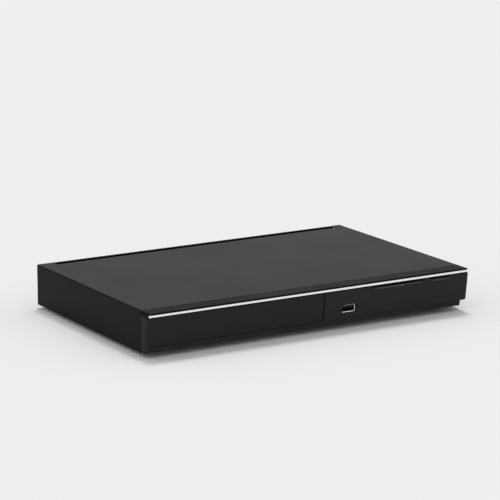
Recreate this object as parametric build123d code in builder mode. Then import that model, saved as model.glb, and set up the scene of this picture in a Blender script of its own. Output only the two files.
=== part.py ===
"""A slim disc player with a motorised tray, as separate pieces in millimetres.

+X runs to the right seen from the front, +Y to the rear and +Z up. The origin is on the
surface that the feet stand on, under the middle of the whole player.
"""
import os
from math import atan2, cos, degrees, pi, radians, sin, sqrt
from build123d import *

os.makedirs("parts", exist_ok=True)

# ---- cabinet ----
WIDTH = 312.0
HEIGHT = 38.5
CABINET_DEPTH = 201.5
JACK_REACH = 8.5
FOOT_HEIGHT = 3.1
SHEET = 0.8
HALF_W = WIDTH / 2
FRONT_Y = -(CABINET_DEPTH + JACK_REACH) / 2
REAR_Y = FRONT_Y + CABINET_DEPTH
TRIM_DEPTH = 14.5
SEAM_Y = FRONT_Y + TRIM_DEPTH
SEAM_GAP = 0.35
BEND_R = 1.6
PAN_TOP = FOOT_HEIGHT + SHEET
COVER_UNDER = HEIGHT - SHEET
FIT_GAP = 0.2
PANEL_INNER_Y = REAR_Y - SHEET
STEP_LEFT = -141.0
STEP_RIGHT = 147.0
STEP_DEPTH = 8.8
HEM = 2.1
CHANNEL_FLOOR = 36.2

# ---- front ----
TRIM_WRAP_Z = 34.3
STRIP_TOP = 37.1
TRIM_EDGE_Z = 37.7
STRIP_BOTTOM = 35.1
STRIP_DEPTH = 1.6
FACE_TOP = 34.2
FACE_BOTTOM = 10.0
FACE_TOP_Y = FRONT_Y + 0.3
FACE_BOTTOM_Y = FRONT_Y + 3.3
FACE_THICK = 2.2
DOOR_LEFT = -HALF_W + 0.1
DOOR_RIGHT = 10.0
PANEL_LEFT = 11.2
LIP_TOP = 9.6
LIP_BOTTOM = 5.0
LIP_FRONT_Y = FRONT_Y + 3.6
LIP_FOOT_Y = FRONT_Y + 5.0
LIP_EDGE = 0.6
LIP_RIGHT = 150.5
WALL = 1.6
BACK_WALL_Y = FRONT_Y + 6.6
BACK_WALL = 1.8
USB_X = 35.4
USB_Z = 18.0
USB_OPENING_X = 35.8
USB_FRONT = FRONT_Y + 4.2
USB_POCKET_Y = USB_FRONT - 1.0
USB_LIP = 0.35
BUTTONS = {"power": (59.8, 84.3), "open": (92.4, 109.0), "play": (118.1, 137.0)}
BUTTON_LOW = 31.3
BUTTON_LEDGE = 31.9
BUTTON_HIGH = 32.6
BUTTON_OUT = 0.3
SLOT_LEFT_GAP = 1.2
SLOT_RIGHT_GAP = 0.3
WINDOW_LEFT = 85.3
WINDOW_RIGHT = 90.8
WINDOW_SPLIT = 86.8
SWITCH_Z = 27.0
KEY_BOARD_Y = -91.0

# ---- disc loader ----
DISC_X = -73.0
DISC_Y = -32.0
DISC_R = 60.0
TRAY_HALF = 65.0
TRAY_BOTTOM = 19.4
TRAY_TOP = 25.4
TRAY_FRONT = FRONT_Y + 7.6
TRAY_REAR = 58.0
TRAY_WALL = 2.0
WELL_FLOOR = 22.6
SMALL_WELL_FLOOR = 21.0
SLOT_HALF = 18.0
RACK_X = DISC_X + 53.0
LOADER_LEFT = -146.0
LOADER_RIGHT = -0.5
LOADER_FRONT = -90.0
LOADER_REAR = 66.0
LOADER_WALL = 2.5
LOADER_TOP = 27.8
POST_TOP = 8.0
MODULE = 1.0
TRAY_TEETH = 24
PINION_TEETH = 12
TRAY_GEAR_X = RACK_X - MODULE * TRAY_TEETH / 2
TRAY_GEAR_Y = -78.0
PULLEY_GEAR_X = TRAY_GEAR_X - MODULE * (TRAY_TEETH + PINION_TEETH) / 2
LOAD_MOTOR_X = -104.0
LOAD_MOTOR_R = 12.2
BELT_LOW = 16.9
BELT_HIGH = 18.7
SMALL_PULLEY_R = 3.0
BIG_PULLEY_R = 12.0
BELT_THICK = 1.2
FLOOR_LOW = 10.6
FLOOR_HIGH = 12.2

# ---- lifting deck ----
PIVOT_Y = 57.5
PIVOT_Z = 15.4
LIFT_PIN_Y = -57.0
LIFT_ANGLE = radians(4.2)
CAM_TRAVEL = 14.0
PIN_R = 1.5
PIN_GAP = 0.06
DECK_LOW = 16.4
DECK_HIGH = 17.4
SEAT_Z = 24.6
ROD_Z = 14.0
ROD_SPAN = 27.0
ROD_R = 1.5
LENS_Y = DISC_Y + 23.0
LENS_TOP = 22.4
LENS_R = 2.45
LENS_DOME_R = 3.5
FINE_MODULE = 0.5
SLED_TEETH = 40
SLED_PINION_TEETH = 16
SLED_MOTOR_TEETH = 10
SLED_RACK_X = DISC_X - 34.0
SLED_GEAR_X = SLED_RACK_X - FINE_MODULE * SLED_PINION_TEETH / 2
SLED_GEAR_Y = DISC_Y + 28.0
SLED_MESH_ANGLE = 115.0
SLED_REACH = FINE_MODULE * (SLED_TEETH + SLED_MOTOR_TEETH) / 2
SLED_MOTOR_X = SLED_GEAR_X + SLED_REACH * cos(radians(SLED_MESH_ANGLE))
SLED_MOTOR_Y = SLED_GEAR_Y + SLED_REACH * sin(radians(SLED_MESH_ANGLE))
SLED_WHEEL_LOW = 10.0
SLED_WHEEL_HIGH = 11.2
SLED_MESH_LOW = 11.4
SLED_MESH_HIGH = 13.6

# ---- boards ----
BOARD = 1.6
MAIN_LEFT = 8.0
MAIN_RIGHT = 78.0
POWER_LEFT = 84.0
POWER_RIGHT = 150.0
BOARD_FRONT = -20.0
BOARD_REAR = 92.0
BOARD_TOP = POST_TOP + BOARD
INLET_X = 132.0
INLET_Z = 20.0
HDMI_X = 24.0
HDMI_Z = 12.4
JACK_XS = (44.0, 57.0, 70.0)
JACK_Z = 19.0
RIBBON_LEFT = 52.0
RIBBON_RIGHT = 66.0
RIBBON_THICK = 0.3


# ---- shared shapes ----
def slab(x0, x1, y0, y1, z0, z1, mode=Mode.ADD):
    """An upright box between the given limits."""
    with BuildSketch(Plane.XY.offset(z0)) as outline:
        with Locations(((x0 + x1) / 2, (y0 + y1) / 2)):
            Rectangle(x1 - x0, y1 - y0)
    extrude(outline.sketch, amount=z1 - z0, mode=mode)


def post(x, y, z0, z1, radius, mode=Mode.ADD):
    """An upright cylinder."""
    with BuildSketch(Plane.XY.offset(z0)) as outline:
        with Locations((x, y)):
            Circle(radius)
    extrude(outline.sketch, amount=z1 - z0, mode=mode)


def bar_y(x, z, y0, y1, radius, mode=Mode.ADD):
    """A cylinder that runs front to back."""
    with BuildSketch(Plane.XZ.offset(-y0)) as outline:
        with Locations((x, z)):
            Circle(radius)
    extrude(outline.sketch, amount=y0 - y1, mode=mode)


def bar_x(y, z, x0, x1, radius, mode=Mode.ADD):
    """A cylinder that runs left to right."""
    with BuildSketch(Plane.YZ.offset(x0)) as outline:
        with Locations((y, z)):
            Circle(radius)
    extrude(outline.sketch, amount=x1 - x0, mode=mode)


def side_profile(points, x0, x1, mode=Mode.ADD):
    """A (y, z) outline drawn across the width from x0 to x1."""
    with BuildSketch(Plane.YZ.offset(x0)) as outline:
        with BuildLine():
            Polyline(*points, close=True)
        make_face()
    extrude(outline.sketch, amount=x1 - x0, mode=mode)


def front_profile(points, y0, y1, mode=Mode.ADD):
    """An (x, z) outline drawn from front to back between y0 and y1."""
    with BuildSketch(Plane.XZ.offset(-y0)) as outline:
        with BuildLine():
            Polyline(*points, close=True)
        make_face()
    extrude(outline.sketch, amount=y0 - y1, mode=mode)


def plan_profile(points, z0, z1, mode=Mode.ADD):
    """An (x, y) outline drawn upwards from z0 to z1."""
    with BuildSketch(Plane.XY.offset(z0)) as outline:
        with BuildLine():
            Polyline(*points, close=True)
        make_face()
    extrude(outline.sketch, amount=z1 - z0, mode=mode)


def front_slot(x, z, y0, y1, length, height, corner, mode=Mode.SUBTRACT):
    """A round-cornered rectangle seen from the front, from y0 back to y1."""
    with BuildSketch(Plane.XZ.offset(-y0)) as outline:
        with Locations((x, z)):
            RectangleRounded(length, height, corner)
    extrude(outline.sketch, amount=y0 - y1, mode=mode)


def face_y(z):
    """The y of the sloping front face at height z."""
    run = (FACE_TOP - z) / (FACE_TOP - FACE_BOTTOM)
    return FACE_TOP_Y + run * (FACE_BOTTOM_Y - FACE_TOP_Y)


def face_band(z_low, z_high, front, back):
    """A (y, z) outline that follows the sloping face at the given depths behind it."""
    return [
        (face_y(z_high) + front, z_high),
        (face_y(z_low) + front, z_low),
        (face_y(z_low) + back, z_low),
        (face_y(z_high) + back, z_high),
    ]


def tooth(module, facing):
    """One straight-sided tooth at the current place, pointing along facing degrees."""
    height = 2.0 * module
    base = 2.0 * module
    tip = 0.75 * module
    slope = degrees(atan2(height, (base - tip) / 2))
    Trapezoid(base, height, slope, rotation=facing - 90)


def gear_wheel(x, y, z0, z1, teeth, module, start):
    """A spur wheel whose first tooth points along start degrees."""
    pitch_r = module * teeth / 2
    with BuildSketch(Plane.XY.offset(z0)) as outline:
        with Locations((x, y)):
            Circle(pitch_r - 1.1 * module)
            with PolarLocations(pitch_r - 0.2 * module, teeth, start_angle=start):
                tooth(module, 0)
    extrude(outline.sketch, amount=z1 - z0)


def rack_bar(pitch_x, back_x, y0, y1, z0, z1, module, mesh_y, facing):
    """A straight rack with a gap between teeth at mesh_y."""
    pitch = pi * module
    away = 1 if back_x > pitch_x else -1
    root_x = pitch_x + away * 1.1 * module
    first = int((y0 + module - mesh_y) / pitch)
    last = int((y1 - module - mesh_y) / pitch)
    with BuildSketch(Plane.XY.offset(z0)) as outline:
        with Locations(((root_x + back_x) / 2, (y0 + y1) / 2)):
            Rectangle(abs(back_x - root_x), y1 - y0)
        for step in range(first, last):
            with Locations((pitch_x + away * 0.2 * module, mesh_y + (step + 0.5) * pitch)):
                tooth(module, facing)
    extrude(outline.sketch, amount=z1 - z0)


def save(piece, name):
    """Label a finished piece and write it under its own name."""
    piece.label = name
    export_step(piece, f"parts/{name}.step")


# ---- cabinet shell ----
BOARD_POSTS = (
    (MAIN_LEFT + 5, BOARD_FRONT + 5),
    (MAIN_RIGHT - 5, BOARD_FRONT + 5),
    (MAIN_LEFT + 5, BOARD_REAR - 24),
    (MAIN_RIGHT - 5, BOARD_REAR - 24),
    (POWER_LEFT + 5, BOARD_FRONT + 5),
    (POWER_RIGHT - 5, BOARD_FRONT + 5),
    (POWER_LEFT + 5, BOARD_REAR - 24),
    (POWER_RIGHT - 5, BOARD_REAR - 24),
)
LOADER_POSTS = (
    (LOADER_LEFT + 5, LOADER_FRONT + 5),
    (LOADER_RIGHT - 5, LOADER_FRONT + 5),
    (LOADER_LEFT + 5, LOADER_REAR - 5),
    (LOADER_RIGHT - 5, LOADER_REAR - 5),
)
FEET = ((-128.0, -74.0), (128.0, -74.0), (-128.0, 74.0), (128.0, 74.0))
PANEL_SCREW_XS = (-120.0, -2.0, 120.0)
PRESSED_RIB_XS = (20.0, 38.0, 90.0, 122.0)
PANEL_SCREW_Y = 90.0
SCREW_HEAD_R = 2.8
SCREW_R = 1.2
SIDE_FLANGE = (-88.0, 90.0)
FLOOR_VENT = (116.0, 30.0)
REAR_VENT = (-92.0, 21.0)
REAR_TAB_XS = (-148.0, 3.0, 150.5)
REAR_TAB_Z = 30.0
REAR_TAB = (-4.0, 10.0)
REAR_TAB_TOP = 34.2

with BuildPart() as base_chassis:
    slab(-HALF_W + SHEET + FIT_GAP, HALF_W - SHEET - FIT_GAP, SEAM_Y + FIT_GAP, PANEL_INNER_Y,
         FOOT_HEIGHT, PAN_TOP)
    slab(-HALF_W + WALL + FIT_GAP, HALF_W - WALL - FIT_GAP, SEAM_Y + FIT_GAP,
         SEAM_Y + FIT_GAP + SHEET, PAN_TOP, 7.5)
    slab(LOAD_MOTOR_X - 14, LOAD_MOTOR_X + 14, SEAM_Y - 1, SEAM_Y + 2, PAN_TOP, 8.0,
         mode=Mode.SUBTRACT)
    for side in (-1, 1):
        edge = side * (HALF_W - SHEET - FIT_GAP)
        inner = edge - side * SHEET
        slab(min(edge, inner), max(edge, inner), *SIDE_FLANGE, PAN_TOP, PAN_TOP + 9.0)
    for place in BOARD_POSTS:
        post(*place, PAN_TOP, POST_TOP, 3.2)
    for x in PRESSED_RIB_XS:
        slab(x - 2.0, x + 2.0, -60.0, -34.0, PAN_TOP, PAN_TOP + 0.5)
    with Locations(*[(x, y, POST_TOP) for x, y in BOARD_POSTS]):
        Hole(1.1, depth=POST_TOP - FOOT_HEIGHT)
    with Locations(*[(x, y, PAN_TOP) for x, y in LOADER_POSTS]):
        Hole(1.1, depth=SHEET)
    with Locations(*[(x, y, PAN_TOP) for x, y in FEET]):
        Hole(2.1, depth=SHEET)
    with Locations(*[(x, PANEL_SCREW_Y, PAN_TOP) for x in PANEL_SCREW_XS]):
        Hole(1.6, depth=SHEET)
    with BuildSketch(Plane.XY.offset(FOOT_HEIGHT)):
        with Locations(FLOOR_VENT):
            with GridLocations(7.0, 24.0, 7, 2):
                SlotOverall(18.0, 2.6, rotation=90)
    extrude(amount=SHEET, mode=Mode.SUBTRACT)
save(base_chassis.part, "base_chassis")

with BuildPart() as top_cover:
    with BuildSketch(Plane.XZ.offset(-SEAM_Y - SEAM_GAP)):
        with Locations((0, (HEIGHT + FOOT_HEIGHT) / 2)):
            Rectangle(WIDTH, HEIGHT - FOOT_HEIGHT)
    extrude(amount=SEAM_Y + SEAM_GAP - REAR_Y)
    fillet(top_cover.edges().filter_by(Axis.Y).group_by(Axis.Z)[-1], BEND_R)
    with BuildSketch(Plane.XZ.offset(-SEAM_Y + 1.0)) as hollow:
        with Locations((0, (COVER_UNDER + FOOT_HEIGHT) / 2 - 1)):
            Rectangle(WIDTH - 2 * SHEET, COVER_UNDER - FOOT_HEIGHT + 2)
        fillet(hollow.vertices().group_by(Axis.Z)[-1], BEND_R - SHEET)
    extrude(amount=SEAM_Y - 1.0 - REAR_Y - 2.0, mode=Mode.SUBTRACT)
    slab(STEP_LEFT, STEP_RIGHT, REAR_Y - STEP_DEPTH, REAR_Y + 1, COVER_UNDER - 1, HEIGHT + 1,
         mode=Mode.SUBTRACT)
    for side in (-1, 1):
        outer = side * (HALF_W - SHEET)
        inner = side * (HALF_W - SHEET - 11.0)
        slab(min(outer, inner), max(outer, inner), PANEL_INNER_Y - SHEET, PANEL_INNER_Y,
             24.0, 35.0)
    tab_front = REAR_Y - STEP_DEPTH - 2 * SHEET
    slab(*REAR_TAB, tab_front, tab_front + SHEET, REAR_TAB_TOP, COVER_UNDER)
    slab(*REAR_TAB, tab_front, PANEL_INNER_Y, REAR_TAB_TOP - SHEET, REAR_TAB_TOP)
    slab(*REAR_TAB, PANEL_INNER_Y - SHEET, PANEL_INNER_Y, 25.0, REAR_TAB_TOP - SHEET)
    for x in REAR_TAB_XS:
        bar_y(x, REAR_TAB_Z, REAR_Y - 3.0, REAR_Y, SCREW_R + 0.05, mode=Mode.SUBTRACT)
save(top_cover.part, "top_cover")

with BuildPart() as rear_panel:
    slab(-HALF_W + SHEET + FIT_GAP, HALF_W - SHEET - FIT_GAP, PANEL_INNER_Y, REAR_Y,
         PAN_TOP, HEIGHT - 0.1)
    slab(-HALF_W + SHEET + FIT_GAP, STEP_LEFT + 0.2, PANEL_INNER_Y, REAR_Y, COVER_UNDER - 1.0,
         39.0, mode=Mode.SUBTRACT)
    slab(STEP_RIGHT - 0.2, HALF_W, PANEL_INNER_Y, REAR_Y, COVER_UNDER - 1.0, 39.0,
         mode=Mode.SUBTRACT)
    slab(STEP_LEFT + 0.2, STEP_RIGHT - 0.2, REAR_Y - HEM, PANEL_INNER_Y, CHANNEL_FLOOR,
         HEIGHT - 0.1)
    for side_x in ((STEP_LEFT + 1, REAR_TAB[0] - 2), (REAR_TAB[1] + 2, STEP_RIGHT - 1)):
        slab(*side_x, REAR_Y - STEP_DEPTH - 2.0, PANEL_INNER_Y, CHANNEL_FLOOR,
             CHANNEL_FLOOR + SHEET)
    slab(-150.0, 150.0, 84.5, PANEL_INNER_Y, PAN_TOP, PAN_TOP + SHEET)
    for x in PANEL_SCREW_XS:
        post(x, PANEL_SCREW_Y, PAN_TOP, PAN_TOP + SHEET, SCREW_R + 0.05, mode=Mode.SUBTRACT)
    for x in REAR_TAB_XS:
        bar_y(x, REAR_TAB_Z, PANEL_INNER_Y, REAR_Y, 1.6, mode=Mode.SUBTRACT)
    front_slot(INLET_X, INLET_Z, PANEL_INNER_Y, REAR_Y, 24.4, 15.4, 1.5)
    front_slot(HDMI_X, HDMI_Z, PANEL_INNER_Y, REAR_Y, 15.6, 6.2, 0.6)
    for x in JACK_XS:
        bar_y(x, JACK_Z, PANEL_INNER_Y, REAR_Y, 5.2, mode=Mode.SUBTRACT)
    with BuildSketch(Plane.XZ.offset(-PANEL_INNER_Y)):
        with Locations(REAR_VENT):
            with GridLocations(6.0, 16.0, 12, 2):
                SlotOverall(12.0, 2.4, rotation=90)
    extrude(amount=-SHEET, mode=Mode.SUBTRACT)
save(rear_panel.part, "rear_panel")

with BuildPart() as feet:
    for x, y in FEET:
        with BuildSketch(Plane.XY.offset(0.8)) as sole:
            with Locations((x, y)):
                Circle(9.0)
        extrude(sole.sketch, amount=FOOT_HEIGHT - 0.8, taper=14)
        post(x, y, FOOT_HEIGHT, PAN_TOP + 0.9, 2.0)
        post(x, y, PAN_TOP + 0.02, PAN_TOP + 0.9, 2.7)
        post(x, y, 0.0, 0.8, 7.5)
save(feet.part, "feet")

with BuildPart() as cabinet_screws:
    for x in REAR_TAB_XS:
        bar_y(x, REAR_TAB_Z, REAR_Y, REAR_Y + 1.9, SCREW_HEAD_R)
        bar_y(x, REAR_TAB_Z, REAR_Y - 6.0, REAR_Y, SCREW_R)
    for x in PANEL_SCREW_XS:
        post(x, PANEL_SCREW_Y, FOOT_HEIGHT - 1.5, FOOT_HEIGHT, SCREW_HEAD_R)
        post(x, PANEL_SCREW_Y, FOOT_HEIGHT, FOOT_HEIGHT + 4.0, SCREW_R)
    with BuildSketch(Plane.XZ.offset(-(REAR_Y + 1.9))) as rear_cross:
        with Locations(*[(x, REAR_TAB_Z) for x in REAR_TAB_XS]):
            Rectangle(3.4, 0.8)
            Rectangle(0.8, 3.4)
    extrude(rear_cross.sketch, amount=1.0, mode=Mode.SUBTRACT)
    with BuildSketch(Plane.XY.offset(FOOT_HEIGHT - 1.5)) as under_cross:
        with Locations(*[(x, PANEL_SCREW_Y) for x in PANEL_SCREW_XS]):
            Rectangle(3.4, 0.8)
            Rectangle(0.8, 3.4)
    extrude(under_cross.sketch, amount=1.0, mode=Mode.SUBTRACT)
save(cabinet_screws.part, "cabinet_screws")

# ---- front pieces ----
with BuildPart() as top_trim:
    slab(-HALF_W, HALF_W, FRONT_Y, SEAM_Y, TRIM_WRAP_Z, HEIGHT)
    fillet(top_trim.edges().filter_by(Axis.Y).group_by(Axis.Z)[-1], BEND_R)
    fillet(top_trim.edges().filter_by(Axis.X).group_by(Axis.Z)[-1].sort_by(Axis.Y)[0], 0.3)
    slab(-HALF_W + WALL, HALF_W - WALL, FRONT_Y + 2 * WALL, SEAM_Y + 1, TRIM_WRAP_Z - 1,
         HEIGHT - WALL, mode=Mode.SUBTRACT)
    slab(-HALF_W - 1, HALF_W + 1, FRONT_Y - 1, FRONT_Y + STRIP_DEPTH, TRIM_WRAP_Z - 1,
         TRIM_EDGE_Z, mode=Mode.SUBTRACT)
save(top_trim.part, "top_trim")

with BuildPart() as bright_strip:
    slab(-HALF_W + 0.3, HALF_W - 0.3, FRONT_Y, FRONT_Y + STRIP_DEPTH - 0.05, STRIP_BOTTOM,
         STRIP_TOP)
    fillet(bright_strip.edges().filter_by(Axis.Z).group_by(Axis.Y)[0], 0.9)
    fillet(bright_strip.edges().filter_by(Axis.X).group_by(Axis.Y)[0], 0.7)
save(bright_strip.part, "bright_strip")

with BuildPart() as front_bezel:
    side_profile(face_band(FACE_BOTTOM, FACE_TOP, 0.0, FACE_THICK), PANEL_LEFT, HALF_W)
    side_profile(face_band(FACE_BOTTOM, FACE_TOP, 1.0, 11.0), PANEL_LEFT, PANEL_LEFT + WALL)
    lip = [
        (LIP_FRONT_Y, LIP_TOP),
        (LIP_FOOT_Y - LIP_EDGE, LIP_BOTTOM + LIP_EDGE),
        (LIP_FOOT_Y, LIP_BOTTOM),
        (SEAM_Y, LIP_BOTTOM),
        (SEAM_Y, LIP_BOTTOM + WALL),
        (LIP_FOOT_Y + WALL, LIP_BOTTOM + WALL),
        (LIP_FRONT_Y + 2 * WALL, LIP_TOP),
    ]
    side_profile(lip, -HALF_W, LIP_RIGHT)
    slab(-HALF_W, LIP_RIGHT, LIP_FRONT_Y + 0.6, BACK_WALL_Y + BACK_WALL, LIP_TOP - 1.2, LIP_TOP)
    slab(PANEL_LEFT, LIP_RIGHT, FACE_BOTTOM_Y + 0.5, BACK_WALL_Y + 1.4, LIP_TOP - 1.2,
         FACE_BOTTOM + 1.0)
    slab(-HALF_W + WALL, PANEL_LEFT + WALL, BACK_WALL_Y, BACK_WALL_Y + BACK_WALL,
         LIP_TOP - 0.6, TRIM_WRAP_Z)
    slab(LIP_RIGHT - WALL, LIP_RIGHT, LIP_FRONT_Y + 2 * WALL, SEAM_Y, LIP_BOTTOM,
         FACE_BOTTOM + WALL)
    slab(LIP_RIGHT - WALL, HALF_W, SEAM_Y - WALL, SEAM_Y, PAN_TOP, FACE_BOTTOM + WALL)
    slab(LIP_RIGHT - WALL, HALF_W, FACE_BOTTOM_Y + 1.0, SEAM_Y, FACE_BOTTOM,
         FACE_BOTTOM + WALL)
    left_cheek = [
        (FRONT_Y + 3.2, TRIM_WRAP_Z),
        (FRONT_Y + 6.0, FACE_BOTTOM),
        (LIP_FRONT_Y, LIP_TOP),
        (LIP_FOOT_Y - LIP_EDGE, LIP_BOTTOM + LIP_EDGE),
        (LIP_FOOT_Y, LIP_BOTTOM),
        (SEAM_Y, FOOT_HEIGHT),
        (SEAM_Y, TRIM_WRAP_Z),
    ]
    side_profile(left_cheek, -HALF_W, -HALF_W + WALL)
    right_cheek = [
        (FACE_TOP_Y, FACE_TOP),
        (FRONT_Y + 3.2, FACE_TOP),
        (FRONT_Y + 3.2, TRIM_WRAP_Z),
        (SEAM_Y, TRIM_WRAP_Z),
        (SEAM_Y, FACE_BOTTOM),
        (FACE_BOTTOM_Y, FACE_BOTTOM),
    ]
    side_profile(right_cheek, HALF_W - WALL, HALF_W)
    fillet(front_bezel.edges().filter_by(Axis.Y).filter_by(
        lambda edge: abs(edge.center().X - HALF_W) < 0.01
        and abs(edge.center().Z - FACE_BOTTOM) < 0.01), 1.4)
    slab(DISC_X - TRAY_HALF - 3, DISC_X + TRAY_HALF + 3, BACK_WALL_Y - 1,
         BACK_WALL_Y + BACK_WALL + 1, 13.0, 31.5, mode=Mode.SUBTRACT)
    front_slot(USB_OPENING_X, USB_Z, FRONT_Y - 1, FRONT_Y + 8, 14.3, 6.6, 2.0)
    front_slot(USB_OPENING_X, USB_Z, USB_POCKET_Y, FRONT_Y + 8, 15.2, 7.4, 0.6)
    for low_x, high_x in BUTTONS.values():
        slab(low_x - SLOT_LEFT_GAP, high_x + SLOT_RIGHT_GAP, FRONT_Y - 1, FRONT_Y + 4,
             BUTTON_LOW - 0.3, STRIP_TOP, mode=Mode.SUBTRACT)
    slab(WINDOW_LEFT - 0.15, WINDOW_RIGHT + 0.15, FRONT_Y - 1, FRONT_Y + 4, BUTTON_LOW - 0.05,
         STRIP_TOP, mode=Mode.SUBTRACT)
    for x in (54.0, 142.0):
        bar_y(x, 12.5, FRONT_Y + 4.5, KEY_BOARD_Y, 2.0)
save(front_bezel.part, "front_bezel")

with BuildPart() as tray_front:
    side_profile(face_band(FACE_BOTTOM + 0.1, FACE_TOP, 0.0, FACE_THICK), DOOR_LEFT, DOOR_RIGHT)
    fillet(tray_front.faces().sort_by(Axis.X)[0].edges().sort_by(Axis.Y)[0], 0.9)
    for x in (DISC_X - 45, DISC_X + 45):
        slab(x - 9, x + 9, FRONT_Y + 2.2, TRAY_FRONT, 21.0, 24.6)
        slab(x - 1, x + 1, FRONT_Y + 2.4, TRAY_FRONT, 14.5, 24.6)
save(tray_front.part, "tray_front")

KEY_LEDGE = [
    (face_y(BUTTON_LOW) - BUTTON_OUT, BUTTON_LOW),
    (face_y(BUTTON_LEDGE) - BUTTON_OUT, BUTTON_LEDGE),
    (face_y(BUTTON_LEDGE) - BUTTON_OUT + 0.8, BUTTON_HIGH),
    (FRONT_Y + 4.6, BUTTON_HIGH),
    (FRONT_Y + 4.6, BUTTON_LOW),
]
with BuildPart() as status_window:
    side_profile(KEY_LEDGE, WINDOW_LEFT, WINDOW_RIGHT)
    slab(WINDOW_SPLIT, WINDOW_SPLIT + 0.5, FRONT_Y - 1, FRONT_Y + 1.6, BUTTON_LOW - 1,
         BUTTON_HIGH + 1, mode=Mode.SUBTRACT)
save(status_window.part, "status_window")

STEM_FRONT_Y = FRONT_Y + 5.8
PLUNGER_FRONT_Y = KEY_BOARD_Y - 5.0
for key, (low_x, high_x) in BUTTONS.items():
    middle = (low_x + high_x) / 2
    with BuildPart() as button:
        side_profile(KEY_LEDGE, low_x, high_x)
        slab(low_x + 1, high_x - 1, FRONT_Y + 4.4, STEM_FRONT_Y, SWITCH_Z - 2.5, BUTTON_HIGH)
        bar_y(middle, SWITCH_Z, STEM_FRONT_Y, PLUNGER_FRONT_Y, 2.2)
    save(button.part, f"{key}_button")
    with BuildPart() as plunger:
        bar_y(middle, SWITCH_Z, PLUNGER_FRONT_Y, KEY_BOARD_Y - 2.0, 1.7)
    save(plunger.part, f"{key}_plunger")

with BuildPart() as switch_bodies:
    for low_x, high_x in BUTTONS.values():
        middle = (low_x + high_x) / 2
        slab(middle - 3, middle + 3, KEY_BOARD_Y - 3.5, KEY_BOARD_Y, SWITCH_Z - 3, SWITCH_Z + 3)
        bar_y(middle, SWITCH_Z, KEY_BOARD_Y - 3.5, KEY_BOARD_Y - 0.8, 1.75, mode=Mode.SUBTRACT)
save(switch_bodies.part, "switch_bodies")

with BuildPart() as key_board:
    slab(50.0, 146.0, KEY_BOARD_Y, KEY_BOARD_Y + BOARD, 8.5, 33.5)
    fillet(key_board.edges().filter_by(Axis.Y), 1.0)
    slab(RIBBON_LEFT - 1, RIBBON_RIGHT + 1, KEY_BOARD_Y + BOARD, KEY_BOARD_Y + BOARD + 3.0, 9.5,
         13.5)
save(key_board.part, "key_board")

with BuildPart() as status_led:
    bar_y(88.05, 31.0, KEY_BOARD_Y - 9.0, KEY_BOARD_Y, 1.5)
save(status_led.part, "status_led")

with BuildPart() as remote_receiver:
    slab(97.5, 103.5, KEY_BOARD_Y - 4.0, KEY_BOARD_Y, 16.0, 23.0)
    bar_y(100.5, 20.0, KEY_BOARD_Y - 5.0, KEY_BOARD_Y - 4.0, 2.4)
save(remote_receiver.part, "remote_receiver")

USB_REAR = USB_FRONT + 14.0
with BuildPart() as usb_board:
    slab(18.0, 48.0, USB_FRONT + 2.0, -64.0, 13.5, 13.5 + BOARD)
    slab(26.0, 40.0, -72.0, -66.0, 13.5 + BOARD, 13.5 + BOARD + 5.0)
    for x in (22.0, 44.0):
        post(x, -68.0, PAN_TOP, 13.5, 2.0)
save(usb_board.part, "usb_board")

with BuildPart() as usb_shell:
    front_slot(USB_X, USB_Z, USB_FRONT, USB_REAR, 13.1, 5.7, 0.6, mode=Mode.ADD)
    front_slot(USB_X, USB_Z, USB_FRONT, USB_REAR - 0.4, 12.4, 5.0, 0.4)
    for x in (USB_X - 3.2, USB_X + 3.2):
        slab(x - 0.9, x + 0.9, USB_FRONT + 4.0, USB_FRONT + 8.0, USB_Z + 2.4, USB_Z + 3,
             mode=Mode.SUBTRACT)
    for up in (-1, 1):
        edge_z = USB_Z + up * 2.85
        side_profile(
            [
                (USB_FRONT + 0.2, edge_z),
                (USB_FRONT - 0.7, edge_z + up * 0.4),
                (USB_FRONT - 0.9, edge_z + up * 0.4 - up * USB_LIP),
                (USB_FRONT + 0.2, edge_z - up * USB_LIP),
            ],
            USB_X - 5.4,
            USB_X + 5.4,
        )
    for side in (-1, 1):
        edge_x = USB_X + side * 6.55
        plan_profile(
            [
                (edge_x, USB_FRONT + 0.2),
                (edge_x + side * 0.4, USB_FRONT - 0.7),
                (edge_x + side * 0.4 - side * USB_LIP, USB_FRONT - 0.9),
                (edge_x - side * USB_LIP, USB_FRONT + 0.2),
            ],
            USB_Z - 1.8,
            USB_Z + 1.8,
        )
save(usb_shell.part, "usb_shell")

with BuildPart() as usb_tongue:
    slab(USB_X - 5.6, USB_X + 5.6, USB_FRONT + 1.2, USB_REAR - 0.5, USB_Z + 0.2, USB_Z + 2.0)
    slab(USB_X - 6.1, USB_X + 6.1, USB_REAR - 2.5, USB_REAR - 0.5, USB_Z - 2.4, USB_Z + 2.4)
save(usb_tongue.part, "usb_tongue")

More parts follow.
